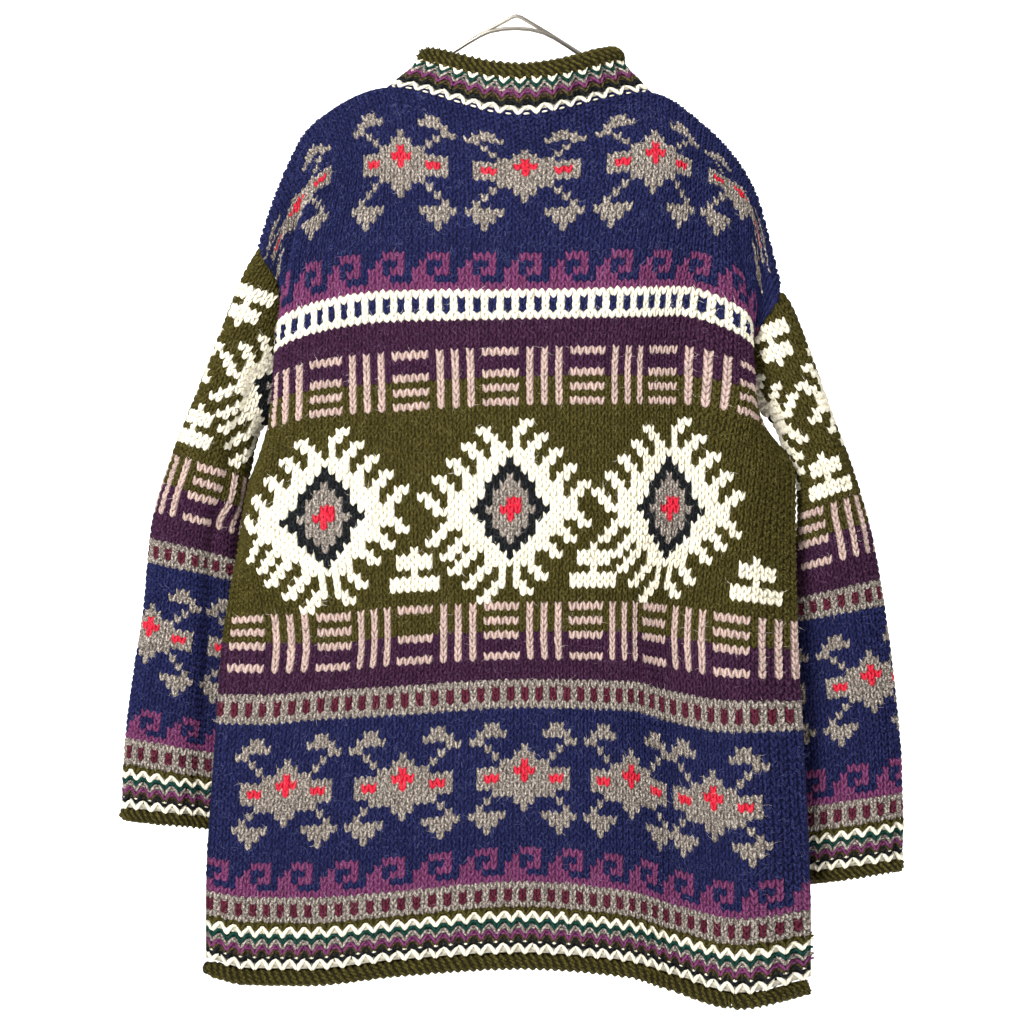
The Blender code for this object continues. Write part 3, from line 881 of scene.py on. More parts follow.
@dataclass(frozen=True)
class Knit:
    """Charted knitting on a surface, and the layers of a piece that are made from it.

    Attributes:
        surface: Where it lies.
        cells: Yarn numbers, one for each row and stitch.
        first_row: The row of the first line of cells.
        cut: Where the knitting ends, or None where all of it shows.
        origin: The column of stitch 0.
    """

    surface: KnitSurface
    cells: np.ndarray
    first_row: int = 0
    cut: Optional[Cut] = None
    origin: int = 0

    def places(self) -> tuple[np.ndarray, np.ndarray]:
        """The line and the column of every cell, one cell after another."""
        row, stitch = np.indices(self.cells.shape)
        return row.ravel(), stitch.ravel()

    def stitches(self, name: str, seed: int) -> bpy.types.Object:
        """The two legs of every stitch.

        Args:
            name: The piece's name.
            seed: Seed of their unevenness.

        Returns:
            The new object.
        """
        row, stitch = self.places()
        if self.cut is not None:
            keep = self.cut.left_over(stitch - self.origin + 0.5,
                                      row + self.first_row + LEG_MIDDLE) > LEG_CLEARANCE
            row, stitch = row[keep], stitch[keep]
        yarns = self.cells[row, stitch]
        builder = MeshBuilder()
        u = stitch - self.origin + 0.5
        v = (row + self.first_row).astype(float)
        plant(builder, self.surface, LEFT_LEG, u, v, yarns, seed)
        plant(builder, self.surface, RIGHT_LEG, u, v, yarns, seed + 1)
        return builder.build(name, Look.STRAND)

    def cloth(self, name: str) -> bpy.types.Object:
        """The cloth behind the stitches: a thin shell whose inside shows the purl side.

        Args:
            name: The piece's name.

        Returns:
            The new object.
        """
        surface, (lines, count) = self.surface, self.cells.shape
        u, v = np.meshgrid(np.arange(count + 1, dtype=float) - self.origin,
                           self.first_row + np.arange(lines + 1, dtype=float))
        placed = surface.at(u, v, np.full(u.shape, -CLOTH_DEPTH)).reshape(-1, 3)
        row, stitch = self.places()
        if self.cut is not None:
            inner = np.where(stitch >= self.origin, stitch - self.origin,
                             np.minimum(stitch + 1 - self.origin, -1e-6))
            level = self.first_row + row
            keep = np.maximum(self.cut.left_over(inner, level),
                              self.cut.left_over(inner, level + 1.0)) > CLOTH_CLEARANCE
            row, stitch = row[keep], stitch[keep]
        right = (stitch + 1) % count if surface.closed else stitch + 1
        low, high = row * (count + 1), (row + 1) * (count + 1)
        quads = np.stack((low + stitch, low + right, high + right, high + stitch), axis=1)
        corners = np.stack((np.stack((stitch, stitch + 1, stitch + 1, stitch), axis=1),
                            np.stack((row, row, row + 1, row + 1), axis=1)), axis=-1)
        if surface.facing < 0:
            quads, corners = quads[:, ::-1], corners[:, ::-1]
        piece = yarn_object(name, placed, quads, self.cells[row, stitch],
                            corners.astype(float), Look.CLOTH)
        shell = piece.modifiers.new("wall", "SOLIDIFY")
        shell.thickness = CLOTH_THICKNESS * MM
        shell.offset = -1.0
        return piece

    def fuzz(self, name: str, size: FuzzSize, seed: int) -> bpy.types.Object:
        """Loose bent fibres that stand off the yarn.

        Args:
            name: The piece's name.
            size: How many fibres, and how long.
            seed: Seed of their places.

        Returns:
            The new object.
        """
        chance = np.random.default_rng(seed)
        lines, count = self.cells.shape
        u = chance.uniform(0.1, count - 0.1, size.count)
        v = chance.uniform(0.1, lines - 0.1, size.count)
        yarns = self.cells[v.astype(int), u.astype(int)]
        u = u - self.origin
        if self.cut is not None:
            keep = self.cut.left_over(u, v) > FUZZ_CLEARANCE
            u, v, yarns = u[keep], v[keep], yarns[keep]
        fibres = len(u)
        angle = chance.uniform(0, 2 * math.pi, fibres)
        length = size.length * chance.uniform(0.4, 1.6, fibres) / PITCH
        bend = chance.normal(0, 0.9, fibres)
        lift = size.lift * chance.uniform(0.15, 1.0, fibres)
        side_u, side_v = -np.sin(angle), np.cos(angle)
        points = []
        for share, rise, thick, ends in FuzzSize.STATIONS:
            turned = angle + bend * share
            half = size.width / PITCH * thick
            for end in ends:
                points.append((u + np.cos(turned) * length * share + side_u * half * end,
                               v + np.sin(turned) * length * share + side_v * half * end,
                               0.7 + lift * rise))
        grid = np.array(points)
        placed = self.surface.at(grid[:, 0].T, grid[:, 1].T, grid[:, 2].T)
        faces = np.array(((0, 1, 3), (0, 3, 2), (2, 3, 4)))
        strands = np.array(((-1, 0), (1, 0), (-1, 0.5), (1, 0.5), (0, 1)), float)
        builder = MeshBuilder()
        builder.add(placed, faces, yarns, strands, self.surface.facing < 0)
        return builder.build(name, Look.FUZZ)


@dataclass(frozen=True)
class RibRow:
    """One row of a rib: wide Vs on every second column, and a bead beside or over each.

    Attributes:
        yarn: Its yarn.
        foot: The row of its Vs' feet.
        bead: Stitches and rows from a V's foot to its bead, or None.
        size: How thick its strand is.
    """

    yarn: Yarn
    foot: float
    bead: Optional[tuple[float, float]] = None
    size: float = 1.0


HEM_RIB = (
    RibRow(Yarn.CREAM, 0.0, (0.0, 2.0), 1.12),
    RibRow(Yarn.BLACK, 1.15),
    RibRow(Yarn.BROWN, 1.85, None, 0.9),
    RibRow(Yarn.MAGENTA, 2.6, (1.0, 0.9)),
    RibRow(Yarn.GREY, 3.6, (1.0, 0.9), 0.95),
    RibRow(Yarn.GREEN, 4.55, (1.0, 1.2)),
    RibRow(Yarn.CREAM, 5.65, (1.0, 1.55), 1.15),
    RibRow(Yarn.OLIVE, 6.75, (1.0, 1.0)),
)
COLLAR_RIB = (
    RibRow(Yarn.NAVY, -0.9, (1.0, 0.2), 0.8),
    RibRow(Yarn.CREAM, 0.25, (1.0, 0.0), 1.05),
    RibRow(Yarn.BLACK, 1.7, (1.0, 0.9)),
    RibRow(Yarn.BROWN, 2.7, (1.0, 0.9)),
    RibRow(Yarn.MAGENTA, 3.8, (1.0, 1.2)),
    RibRow(Yarn.GREY, 4.9, (1.0, 1.8)),
    RibRow(Yarn.GREEN, 5.9, (1.0, 1.7)),
    RibRow(Yarn.CREAM, 6.9, None, 1.1),
)


def rib_mesh(name: str, surface: KnitSurface, rows: Sequence[RibRow], foot: float, tall: float,
             places: Sequence[float], seed: int) -> bpy.types.Object:
    """The strands of a rib.

    Args:
        name: The piece's name.
        surface: The rib's surface.
        rows: The rib's rows, upwards.
        foot: The surface's row at the rib's foot.
        tall: How many rows each V climbs.
        places: The stitches on which its Vs stand.
        seed: Seed of its unevenness.

    Returns:
        The new object.
    """
    builder = MeshBuilder()
    u = np.asarray(places, float)
    for number, row in enumerate(rows):
        yarns = np.full(len(u), row.yarn.value)
        v = np.full(len(u), foot + row.foot)
        for side in (-1, 1):
            leg = Leaf((side * 0.05, -0.30), (side * 0.96, tall - 0.05), 0.25 * row.size,
                       1.8 * row.size, 1.0, -0.16 * side)
            plant(builder, surface, leg, u, v, yarns, seed + 3 * number + side, 1.4)
        if row.bead is not None:
            across, up = row.bead
            plant(builder, surface, BEAD, u + across, v + up, yarns, seed + 40 + number, 1.0)
    return builder.build(name, Look.STRAND)


# --------------------------------------------------------------------------- materials
HALF_TURN, FULL_TURN = 3.1416, 6.2832


class Signal:
    """A shader value that adds and multiplies like a number."""

    def __init__(self, tree: bpy.types.NodeTree, socket: bpy.types.NodeSocket) -> None:
        """Wrap an output socket of a node tree."""
        self.tree = tree
        self.socket = socket

    def _maths(self, operation: str, first: Union["Signal", Number],
               second: Union["Signal", Number, None] = None) -> "Signal":
        """One Math node between values.

        Args:
            operation: What the node does.
            first: A signal or a number.
            second: The same, or None where there is only one value.

        Returns:
            Its output.
        """
        node = self.tree.nodes.new("ShaderNodeMath")
        node.operation = operation
        for slot, value in zip(node.inputs, (first, second)):
            if isinstance(value, Signal):
                self.tree.links.new(value.socket, slot)
            elif value is not None:
                slot.default_value = value
        return Signal(self.tree, node.outputs[0])

    def __add__(self, other: Union["Signal", Number]) -> "Signal":
        """Self plus other."""
        return self._maths("ADD", self, other)

    def __mul__(self, other: Union["Signal", Number]) -> "Signal":
        """Self times other."""
        return self._maths("MULTIPLY", self, other)

    def __abs__(self) -> "Signal":
        """Self without its sign."""
        return self._maths("ABSOLUTE", self)

    def sine(self) -> "Signal":
        """The sine of self."""
        return self._maths("SINE", self)

    def window(self, low: Number, high: Number) -> "Signal":
        """Self stretched so that low becomes 0 and high becomes 1, and cut off there.

        Args:
            low: What becomes 0.
            high: What becomes 1.

        Returns:
            The new signal.
        """
        node = self.tree.nodes.new("ShaderNodeMapRange")
        node.inputs["From Min"].default_value = low
        node.inputs["From Max"].default_value = high
        self.tree.links.new(self.socket, node.inputs["Value"])
        return Signal(self.tree, node.outputs["Result"])


class Shader:
    """A material with a Principled shader, and the ways to feed it."""

    def __init__(self, name: str) -> None:
        """Make the material and find its shader.

        Args:
            name: The material's name.
        """
        self.material = bpy.data.materials.new(name)
        self.material.use_nodes = True
        self.tree = self.material.node_tree
        self.surface = self.tree.nodes["Principled BSDF"]

    def node(self, kind: str, output: Union[int, str] = 0, **inputs: object) -> Signal:
        """Add a node.

        Args:
            kind: The node's type.
            output: Which output is wanted.
            **inputs: Values or signals for its inputs, by name with _ for a space; those
                that name a property of the node set it.

        Returns:
            The wanted output.
        """
        node = self.tree.nodes.new(kind)
        for key, value in inputs.items():
            name = key.replace("_", " ")
            if name in node.inputs:
                if isinstance(value, Signal):
                    self.tree.links.new(value.socket, node.inputs[name])
                else:
                    node.inputs[name].default_value = value
            else:
                setattr(node, key, value)
        return Signal(self.tree, node.outputs[output])

    def set(self, **values: object) -> None:
        """Set constants of the shader, by input name with _ for a space."""
        for key, value in values.items():
            self.surface.inputs[key.replace("_", " ")].default_value = value

    def feed(self, name: str, signal: Signal) -> None:
        """Link a signal to one of the shader's inputs."""
        self.tree.links.new(signal.socket, self.surface.inputs[name])

    def blend(self, share: Signal, first: object, second: object) -> Signal:
        """Mix two colours.

        Args:
            share: How much of the second there is.
            first: A colour or a signal.
            second: A colour or a signal.

        Returns:
            The mixed colour.
        """
        node = self.tree.nodes.new("ShaderNodeMix")
        node.data_type = "RGBA"
        self.tree.links.new(share.socket, node.inputs[0])
        for slot, value in ((node.inputs[6], first), (node.inputs[7], second)):
            if isinstance(value, Signal):
                self.tree.links.new(value.socket, slot)
            else:
                slot.default_value = value
        return Signal(self.tree, node.outputs[2])


def colour(text: str, gain: float = 1.0) -> tuple[float, float, float, float]:
    """A linear colour from six hexadecimal digits.

    Args:
        text: The digits, as seen on a screen.
        gain: How much lighter the linear colour is made.

    Returns:
        Red, green, blue and 1.
    """
    parts = [int(text[i:i + 2], 16) / 255 for i in (0, 2, 4)]
    linear = [p / 12.92 if p <= 0.04045 else ((p + 0.055) / 1.055) ** 2.4 for p in parts]
    return tuple(min(value * gain, 1.0) for value in linear) + (1.0,)


@dataclass(frozen=True)
class Wool:
    """The finish of one yarn.

    Attributes:
        name: What it is called.
        shade: Its colour in hexadecimal digits.
        light: The colour of its lighter fibres.
        heather: How much of the lighter fibres shows, from 0 to 1.
        fuzz: The colour of its loose fibres.
        sheen: How much soft light its nap catches.
        depth: How strongly painted shade darkens the sides of its strands, from 0 to 1.
    """

    name: str
    shade: str
    light: str
    heather: float
    fuzz: str
    sheen: float = 0.12
    depth: float = 0.85

    def material(self, look: Look) -> bpy.types.Material:
        """The yarn's material for strands, for the cloth behind them or for loose fibres.

        Args:
            look: Which of the three is wanted.

        Returns:
            The material, made once.
        """
        name = f"wool_{self.name}_{look.value}"
        found = bpy.data.materials.get(name)
        if found is not None:
            return found
        shader = Shader(name)
        shader.set(Roughness=0.92, Sheen_Weight=self.sheen, Sheen_Roughness=0.45,
                   Specular_IOR_Level=0.12)
        shader.set(Sheen_Tint=colour(self.light))
        place = shader.node("ShaderNodeTexCoord", "Object")
        if look is Look.FUZZ:
            tone = shader.node("ShaderNodeTexNoise", Vector=place, Scale=90.0, Detail=1.0)
            shader.feed("Base Color", shader.blend(tone.window(0.35, 0.65), colour(self.light),
                                                   colour(self.fuzz)))
            return shader.material
        strand = shader.node("ShaderNodeUVMap", uv_map="strand")
        across = shader.node("ShaderNodeSeparateXYZ", "X", Vector=strand)
        along = shader.node("ShaderNodeSeparateXYZ", "Y", Vector=strand)
        tone = shader.node("ShaderNodeTexNoise", Vector=place, Scale=90.0, Detail=2.0)
        speck = shader.node("ShaderNodeTexNoise", Vector=place, Scale=620.0, Detail=3.0,
                            Roughness=0.65)
        light = speck.window(0.50, 0.62)
        dark = speck.window(0.50, 0.38)
        shade = shader.blend(tone.window(0.3, 0.7), colour(self.shade, 0.85),
                             colour(self.shade, 1.15))
        shade = shader.blend(dark * (0.3 + 0.45 * self.heather), shade,
                             colour(self.shade, 0.35))
        flecked = shader.blend(light * (0.15 + 0.75 * self.heather), shade,
                               colour(self.light))
        fibre = shader.node("ShaderNodeTexNoise", Vector=place, Scale=1900.0, Detail=2.0)
        if look is Look.STRAND:
            # Painted shade: the sides of each strand are darkened towards a tenth of its yarn's
            # colour, standing in for the shade where the strand dips under its neighbours.
            painted_groove_shade = (across * across).window(0.12, 0.95)
            shader.feed("Base Color", shader.blend(painted_groove_shade * self.depth, flecked,
                                                   colour(self.shade, 0.10)))
            ply = ((along * 2.6 + across * 0.55) * FULL_TURN).sine()
            height = ply * 0.22 + fibre * 0.5 + speck * 0.5
        else:
            # Painted shade: the cloth behind the stitches is mixed 30 to 80 per cent towards
            # 0.12 of its yarn's colour, in a wave that follows the purl bumps, standing in for
            # the shade between and behind the stitches.
            bump = (across * HALF_TURN).sine() * ((along + 0.25) * FULL_TURN).sine()
            shader.feed("Base Color", shader.blend((bump * 0.5 + 0.5) * 0.5 + 0.3, flecked,
                                                   colour(self.shade, 0.12)))
            height = abs(bump) * 1.5 + fibre * 0.4
        shader.feed("Normal", shader.node("ShaderNodeBump", Height=height, Strength=0.75,
                                          Distance=0.0005))
        return shader.material


# Where two numbers follow the fuzz colour they are the sheen and how strongly painted shade
# darkens the strands' sides; the others keep 0.12 and 0.85.
WOOLS = {
    Yarn.NAVY: Wool("navy", "171A42", "3A406E", 0.40, "646A88"),
    Yarn.OLIVE: Wool("olive", "3B350F", "665E32", 0.50, "867E56"),
    Yarn.PURPLE: Wool("purple", "341730", "5E3C56", 0.40, "7C607C"),
    Yarn.MAGENTA: Wool("magenta", "6A3058", "905E80", 0.35, "987490"),
    Yarn.CREAM: Wool("cream", "F0E8D0", "FFF8E6", 0.25, "FFFBF2", 0.08, 0.42),
    Yarn.BEIGE: Wool("beige", "BBA096", "D8C6BC", 0.35, "D8CAC0", 0.10, 0.65),
    Yarn.GREY: Wool("grey", "7A7068", "C8BEB2", 1.00, "C0B6A8", 0.10, 0.8),
    Yarn.RED: Wool("red", "D02038", "EC5460", 0.35, "E88088", 0.12, 0.75),
    Yarn.BLACK: Wool("black", "121416", "34383C", 0.40, "606468"),
    Yarn.GREEN: Wool("green", "0F352E", "2A5A4E", 0.30, "4C7A6C"),
    Yarn.MAROON: Wool("maroon", "4E1828", "7E3A4C", 0.35, "906070"),
    Yarn.BROWN: Wool("brown", "38301A", "6E6240", 0.60, "8A7E5C"),
}


@dataclass(frozen=True)
class Steel:
    """The bright drawn wire of the hanger."""

    shade: str = "9C958A"
    roughness: float = 0.34

    def material(self) -> bpy.types.Material:
        """Make the wire's material, slightly clouded.

        Returns:
            The material.
        """
        shader = Shader("steel_wire")
        shader.set(Metallic=1.0, Base_Color=colour(self.shade))
        place = shader.node("ShaderNodeTexCoord", "Object")
        cloud = shader.node("ShaderNodeTexNoise", Vector=place, Scale=900.0, Detail=4.0)
        shader.feed("Roughness", cloud.window(0.2, 0.8) * 0.14 + (self.roughness - 0.07))
        shader.feed("Base Color", shader.blend(cloud.window(0.35, 0.8), colour(self.shade),
                                               colour(self.shade, 0.8)))
        shader.feed("Normal", shader.node("ShaderNodeBump", Height=cloud, Strength=0.12,
                                          Distance=0.0002))
        return shader.material


# --------------------------------------------------------------------------- sub-assemblies
@dataclass
class Part:
    """Something that is built from pieces which ride on the object."""

    pieces: list = field(default_factory=list)

    def keep(self, piece: bpy.types.Object, slot: str, *nodes: str) -> bpy.types.Object:
        """Let a piece ride and hide the solids that it stands for.

        Args:
            piece: The new piece.
            slot: Not used.
            *nodes: Solids that it replaces.

        Returns:
            The piece.
        """
        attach(piece, "root")
        if nodes:
            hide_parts(*nodes)
        self.pieces.append(piece)
        triangles = sum(len(polygon.vertices) - 2 for polygon in piece.data.polygons) \
            if piece.type == "MESH" else 0
        LOG.info("%s: %d triangles", piece.name, triangles)
        return piece


BACK_CREASES = (
    Crease((9, 110), (6.5, 86), 5.5, 1.7),
    Crease((13, 108), (10.5, 88), -1.8, 2.6),
    Crease((71, 105), (75.5, 86), 6.0, 1.8),
    Crease((67.5, 104), (71.5, 88), -1.8, 2.6),
    Crease((8, 92), (17, 78), 2.6, 3.0),
    Crease((9, 74), (12, 48), 2.6, 3.6),
    Crease((18, 58), (14, 20), 2.4, 4.2),
    Crease((33, 97), (37, 70), 1.8, 4.5),
    Crease((51, 99), (47, 76), 1.6, 4.0),
    Crease((30, 44), (33, 12), 2.0, 5.0),
    Crease((47, 52), (50, 24), -1.6, 5.0),
    Crease((60, 30), (57, 4), 1.6, 3.6),
    Crease((76, 60), (73, 30), 2.4, 3.4),
    Crease((79, 26), (77, 2), -1.8, 3.2),
)
FRONT_CREASES = (
    Crease((6, 102), (16, 84), 3.6, 3.2),
    Crease((78, 102), (68, 82), 3.8, 3.0),
    Crease((12, 70), (16, 40), 3.0, 4.0),
    Crease((72, 66), (68, 30), 2.8, 4.0),
    Crease((30, 88), (34, 56), 2.0, 5.0),
    Crease((56, 84), (52, 50), 2.4, 4.6),
    Crease((42, 40), (44, 8), 2.2, 5.0),
    Crease((22, 34), (24, 6), -1.8, 4.0),
    Crease((62, 28), (60, 2), 2.0, 3.8),
)


def body_points(side: Side, stitches: np.ndarray, rows: np.ndarray) -> np.ndarray:
    """Outer points of the back or front panel.

    Args:
        side: Which panel.
        stitches: The wanted stitches.
        rows: The wanted rows.

    Returns:
        Points by row and stitch, in millimetres.
    """
    levels = []
    for _name, row, xs, zs, back_ys, front_ys in BODY_SECTIONS:
        x = smooth(STATIONS, xs, stitches)
        z = smooth(STATIONS, zs, stitches)
        if side is Side.BACK:
            y = smooth(STATIONS, back_ys, stitches)
        else:
            across = np.minimum(stitches, PANEL_STITCHES - stitches)
            y = smooth((0, 6, 14, 26, 42), front_ys, across)
            middle = (stitches - PANEL_STITCHES / 2) / (NECK_TO - NECK_FROM) * 2
            rise = (row - FRONT_DROP_FROM_ROW) / (SHOULDER_ROW - FRONT_DROP_FROM_ROW)
            z = z - FRONT_NECK_DROP * np.clip(1 - middle ** 2, 0, 1) * max(0.0, rise)
            level = xs[0] + (xs[-1] - xs[0]) * stitches / PANEL_STITCHES
            share = np.clip((row - UNDERARM_ROW) / (YOKE_ROW - UNDERARM_ROW), 0, 1)
            x = level + (x - level) * share
        levels.append(np.stack((x, y, z), axis=-1))
    return smooth([section[1] for section in BODY_SECTIONS], np.array(levels), rows)


@dataclass
class Panel(Part):
    """The back or the front: cloth, stitches, rib and loose fibres.

    Attributes:
        side: Which of the two.
        slot: Its material slot.
        fibres: How many loose fibres it has.
        seed: Seed of its unevenness.
    """

    side: Side = Side.BACK
    slot: str = "navy"
    fibres: int = 15000
    seed: int = 11
    surface: KnitSurface = field(init=False)

    def __post_init__(self) -> None:
        """Lay out the surface."""
        stitches = np.linspace(0, PANEL_STITCHES, PANEL_STITCHES * 2 + 1)
        rows = np.linspace(-RIB_ROWS, SHOULDER_ROW, (SHOULDER_ROW + RIB_ROWS) * 2 + 1)
        points = body_points(self.side, stitches, rows)
        creases = BACK_CREASES if self.side is Side.BACK else FRONT_CREASES
        self.surface = KnitSurface(stitches, rows, points, False,
                                   points.mean(axis=(0, 1)) * (1, 0, 1), creases)

    def build(self, chart: Chart) -> None:
        """Make the panel, its stitches in two pieces.

        Args:
            chart: The panel's chart.
        """
        name = self.side.value
        whole = Knit(self.surface, chart.cells)
        cloth = self.keep(whole.cloth(f"{name}_cloth"), self.slot, f"{name}_panel")
        half = SHOULDER_ROW // 2
        halves = {"lower": Knit(self.surface, chart.cells[:half]),
                  "upper": Knit(self.surface, chart.cells[half:], half)}
        stitches = [self.keep(knit.stitches(f"{name}_stitches_{word}",
                                            self.seed + knit.first_row), self.slot)
                    for word, knit in halves.items()]
        fuzz = self.keep(whole.fuzz(f"{name}_fuzz", FuzzSize(self.fibres), self.seed + 5),
                         self.slot)
        self.build_rib()

    def build_rib(self) -> None:
        """Make the hem's rib under this panel."""
        name = self.side.value
        knit = Knit(self.surface, rib_cells(HEM_RIB, PANEL_STITCHES), -RIB_ROWS)
        cloth = self.keep(knit.cloth(f"hem_{name}_cloth"), "olive", f"hem_rib_{name}")
        cords = self.keep(rib_mesh(f"hem_{name}_rib", self.surface, HEM_RIB, RIB_FOOT, 1.75,
                                   np.arange(1, PANEL_STITCHES, 2), self.seed + 7), "olive")


def rib_cells(rows: Sequence[RibRow], stitches: int) -> np.ndarray:
    """Yarn numbers of a rib's cloth, row by row upwards.

    Args:
        rows: The rib's rows.
        stitches: How wide it is.

    Returns:
        The cells.
    """
    yarns = np.array([row.yarn.value for row in rows])
    return np.repeat(yarns[:, None], stitches, axis=1)


@dataclass
class Sleeve(Part):
    """A sleeve with its cuff: cloth, stitches, rib, rolled edge and loose fibres.

    Attributes:
        side: Left or right in the camera's view.
        loop: The armhole, from the shoulder down the back and up the front.
        fibres: How many loose fibres it has.
        seed: Seed of its unevenness.
        roll_radius: Radius of the cuff's rolled edge.
    """

    side: Side = Side.LEFT
    loop: np.ndarray = field(default_factory=lambda: np.zeros((0, 3)))
    fibres: int = 5000
    seed: int = 41
    roll_radius: float = 6.2
    ring: KnitSurface = field(init=False)
    surface: KnitSurface = field(init=False)
    cut: Cut = field(init=False)

    EDGE_SAMPLES = 700
    # How much each row past the table's last one climbs.
    RISE = 5.4
    CREASES = (
        Crease((6, 58), (12, 50), 2.6, 2.6),
        Crease((4, 46), (13, 40), 2.2, 2.2),
        Crease((9, 34), (12, 16), 1.8, 3.0),
        Crease((22, 52), (28, 44), 2.6, 2.6),
        Crease((24, 32), (22, 14), 1.8, 3.0),
    )
    INNER_FOLDS = (
        Crease((11.9, -8), (11.4, 40), 9.0, 2.2),
        Crease((11.6, 28), (11.2, 64), 7.0, 2.2),
        Crease((8.2, 2), (7.8, 34), -1.6, 2.0),
    )

    def __post_init__(self) -> None:
        """Lay out the surface, with its rows square to the sleeve's length."""
        left = self.side is Side.LEFT
        sections = LEFT_SECTIONS if left else RIGHT_SECTIONS
        count = RING_STITCHES * 2
        rings = [self.loop] + [section_ring(section, len(self.loop)) for section in sections]
        rings = np.array([even_ring(ring, count) for ring in rings])
        wrist = len(rings) - 2
        dense = smooth(range(len(rings)), rings, np.linspace(0, wrist, wrist * 10 + 1))
        table = np.array(LEFT_ROWS if left else RIGHT_ROWS, float)
        fine = np.linspace(0, SLEEVE_ROWS + 12, self.EDGE_SAMPLES)
        lean = np.radians(np.interp(fine, table[:, 0], table[:, 2]))
        edge_z = np.interp(fine, table[:, 0], table[:, 1])
        beyond = fine > table[-1, 0]
        edge_z[beyond] = table[-1, 1] + (fine[beyond] - table[-1, 0]) * self.RISE
        outer = dense[:, 0]
        edge_x = np.interp(edge_z, outer[::-1, 2], outer[::-1, 0])
        turn = 1.0 if left else -1.0
        way = np.stack((np.sin(lean) * turn, np.cos(lean)), axis=-1)
        place = np.stack((edge_x, edge_z), axis=-1)
        gap = np.einsum("ijrk,rk->ijr", dense[:, :, None, ::2] - place[None, None], way)
        row_of = fine[np.argmin(np.abs(gap), axis=2)]
        row_of[-1] = 0.0
        rows = np.arange(-RIB_ROWS * 2, (SLEEVE_ROWS + SPARE_ROWS) * 2 + 1) / 2
        points = np.zeros((len(rows), count + 1, 3))
        tops = np.zeros(count + 1)
        above = rows >= 0
        for column in range(count + 1):
            level = np.maximum.accumulate(row_of[::-1, column] + np.arange(len(dense)) * 1e-4)
            line = dense[::-1, column]
            tops[column] = level[-1]
            for axis in range(3):
                points[above, column, axis] = np.interp(rows[above], level, line[:, axis])
        for number in np.flatnonzero(~above):
            share = -rows[number] / RIB_ROWS
            points[number] = rings[wrist] * (1 - share) + rings[wrist + 1] * share
        for number, row in enumerate(rows):
            past = row > tops
            if np.any(past):
                line = points[number - 1, past] * 2 - points[number - 2, past]
                points[number, past] = line
        creases = self.CREASES + (self.INNER_FOLDS if left else ())
        self.ring = KnitSurface(np.linspace(0, RING_STITCHES, count + 1), rows, points, True,
                                points.mean(axis=1, keepdims=True), creases)
        self.surface, self.cut = self.lay_stitches(tops)

    def lay_stitches(self, tops: np.ndarray) -> tuple[KnitSurface, Cut]:
        """Set stitches of one width side by side, from the outer edge both ways.

        Args:
            tops: The row at which each column of the ring meets the armhole.

        Returns:
            The knitting, and where it ends at the armhole and under the arm.
        """
        ring = self.ring
        half = len(tops) // 2
        grid = np.arange(-SLEEVE_REACH * 2, SLEEVE_REACH * 2 + 1) / 2
        points = np.zeros((len(ring.rows), len(grid), 3))
        normals = np.zeros_like(points)
        reach = np.zeros((2, len(ring.rows)))
        ways = ((np.arange(half + 1), grid >= 0), (np.arange(2 * half, half - 1, -1), grid <= 0))
        for number, row in enumerate(ring.rows):
            for way, (columns, places) in enumerate(ways):
                inside = tops[columns] >= row
                count = len(columns) if inside.all() else max(int(np.argmin(inside)), 1)
                line = ring.points[number, columns[:count]]
                facing = ring.normals[number, columns[:count]]
                if 1 < count < len(columns):
                    inner, outer = tops[columns[count - 1]], tops[columns[count]]
                    share = min((inner - row) / max(inner - outer, 1e-6), 1.0)
                    end = (ring.points[number, columns[count]] - line[-1]) * share + line[-1]
                    line = np.concatenate((line, end[None]))
                    facing = np.concatenate((facing, facing[-1:]))
                steps = np.linalg.norm(np.diff(line, axis=0), axis=1)
                length = np.concatenate(((0.0,), np.cumsum(steps))) / PITCH
                reach[way, number] = length[-1]
                for axis in range(3):
                    points[number, places, axis] = np.interp(np.abs(grid[places]), length,
                                                             line[:, axis])
                    normals[number, places, axis] = np.interp(np.abs(grid[places]), length,
                                                              facing[:, axis])
        surface = KnitSurface(grid, ring.rows, points, False, ring.centre, (), unit(normals),
                              ring.facing)
        return surface, Cut(ring.rows, reach[0], reach[1])

    def build(self, chart: Chart) -> None:
        """Make the sleeve.

        Args:
            chart: The sleeve's chart.
        """
        name = f"sleeve_{self.side.value}"
        knit = Knit(self.surface, chart.cells, 0, self.cut, chart.origin)
        cloth = self.keep(knit.cloth(f"{name}_cloth"), "navy", name)
        stitches = self.keep(knit.stitches(f"{name}_stitches", self.seed), "navy")
        fuzz = self.keep(knit.fuzz(f"{name}_fuzz", FuzzSize(self.fibres), self.seed + 5),
                         "navy")
        self.build_cuff()

    def build_cuff(self) -> None:
        """Make the cuff's rib and its rolled edge."""
        name = f"cuff_{self.side.value}"
        knit = Knit(self.surface, rib_cells(HEM_RIB, SLEEVE_REACH * 2), -RIB_ROWS, self.cut,
                    SLEEVE_REACH)
        cloth = self.keep(knit.cloth(f"{name}_cloth"), "olive", f"cuff_rib_{self.side.value}")
        places = np.arange(1 - SLEEVE_REACH, SLEEVE_REACH, 2)
        middle = np.full(len(places), -RIB_ROWS / 2)
        places = places[self.cut.left_over(places, middle) > -0.2]
        cords = self.keep(rib_mesh(f"{name}_rib", self.surface, HEM_RIB, RIB_FOOT, 1.8,
                                   places, self.seed + 7), "olive")
        roll = Roll(f"{name}_roll", self.roll_radius, RING_STITCHES, self.seed + 9)
        piece = roll.build(self.ring.points[0, :-1], self.ring.points[4, :-1],
                           self.ring.normals[0, :-1], self)
        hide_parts(f"cuff_roll_{self.side.value}")


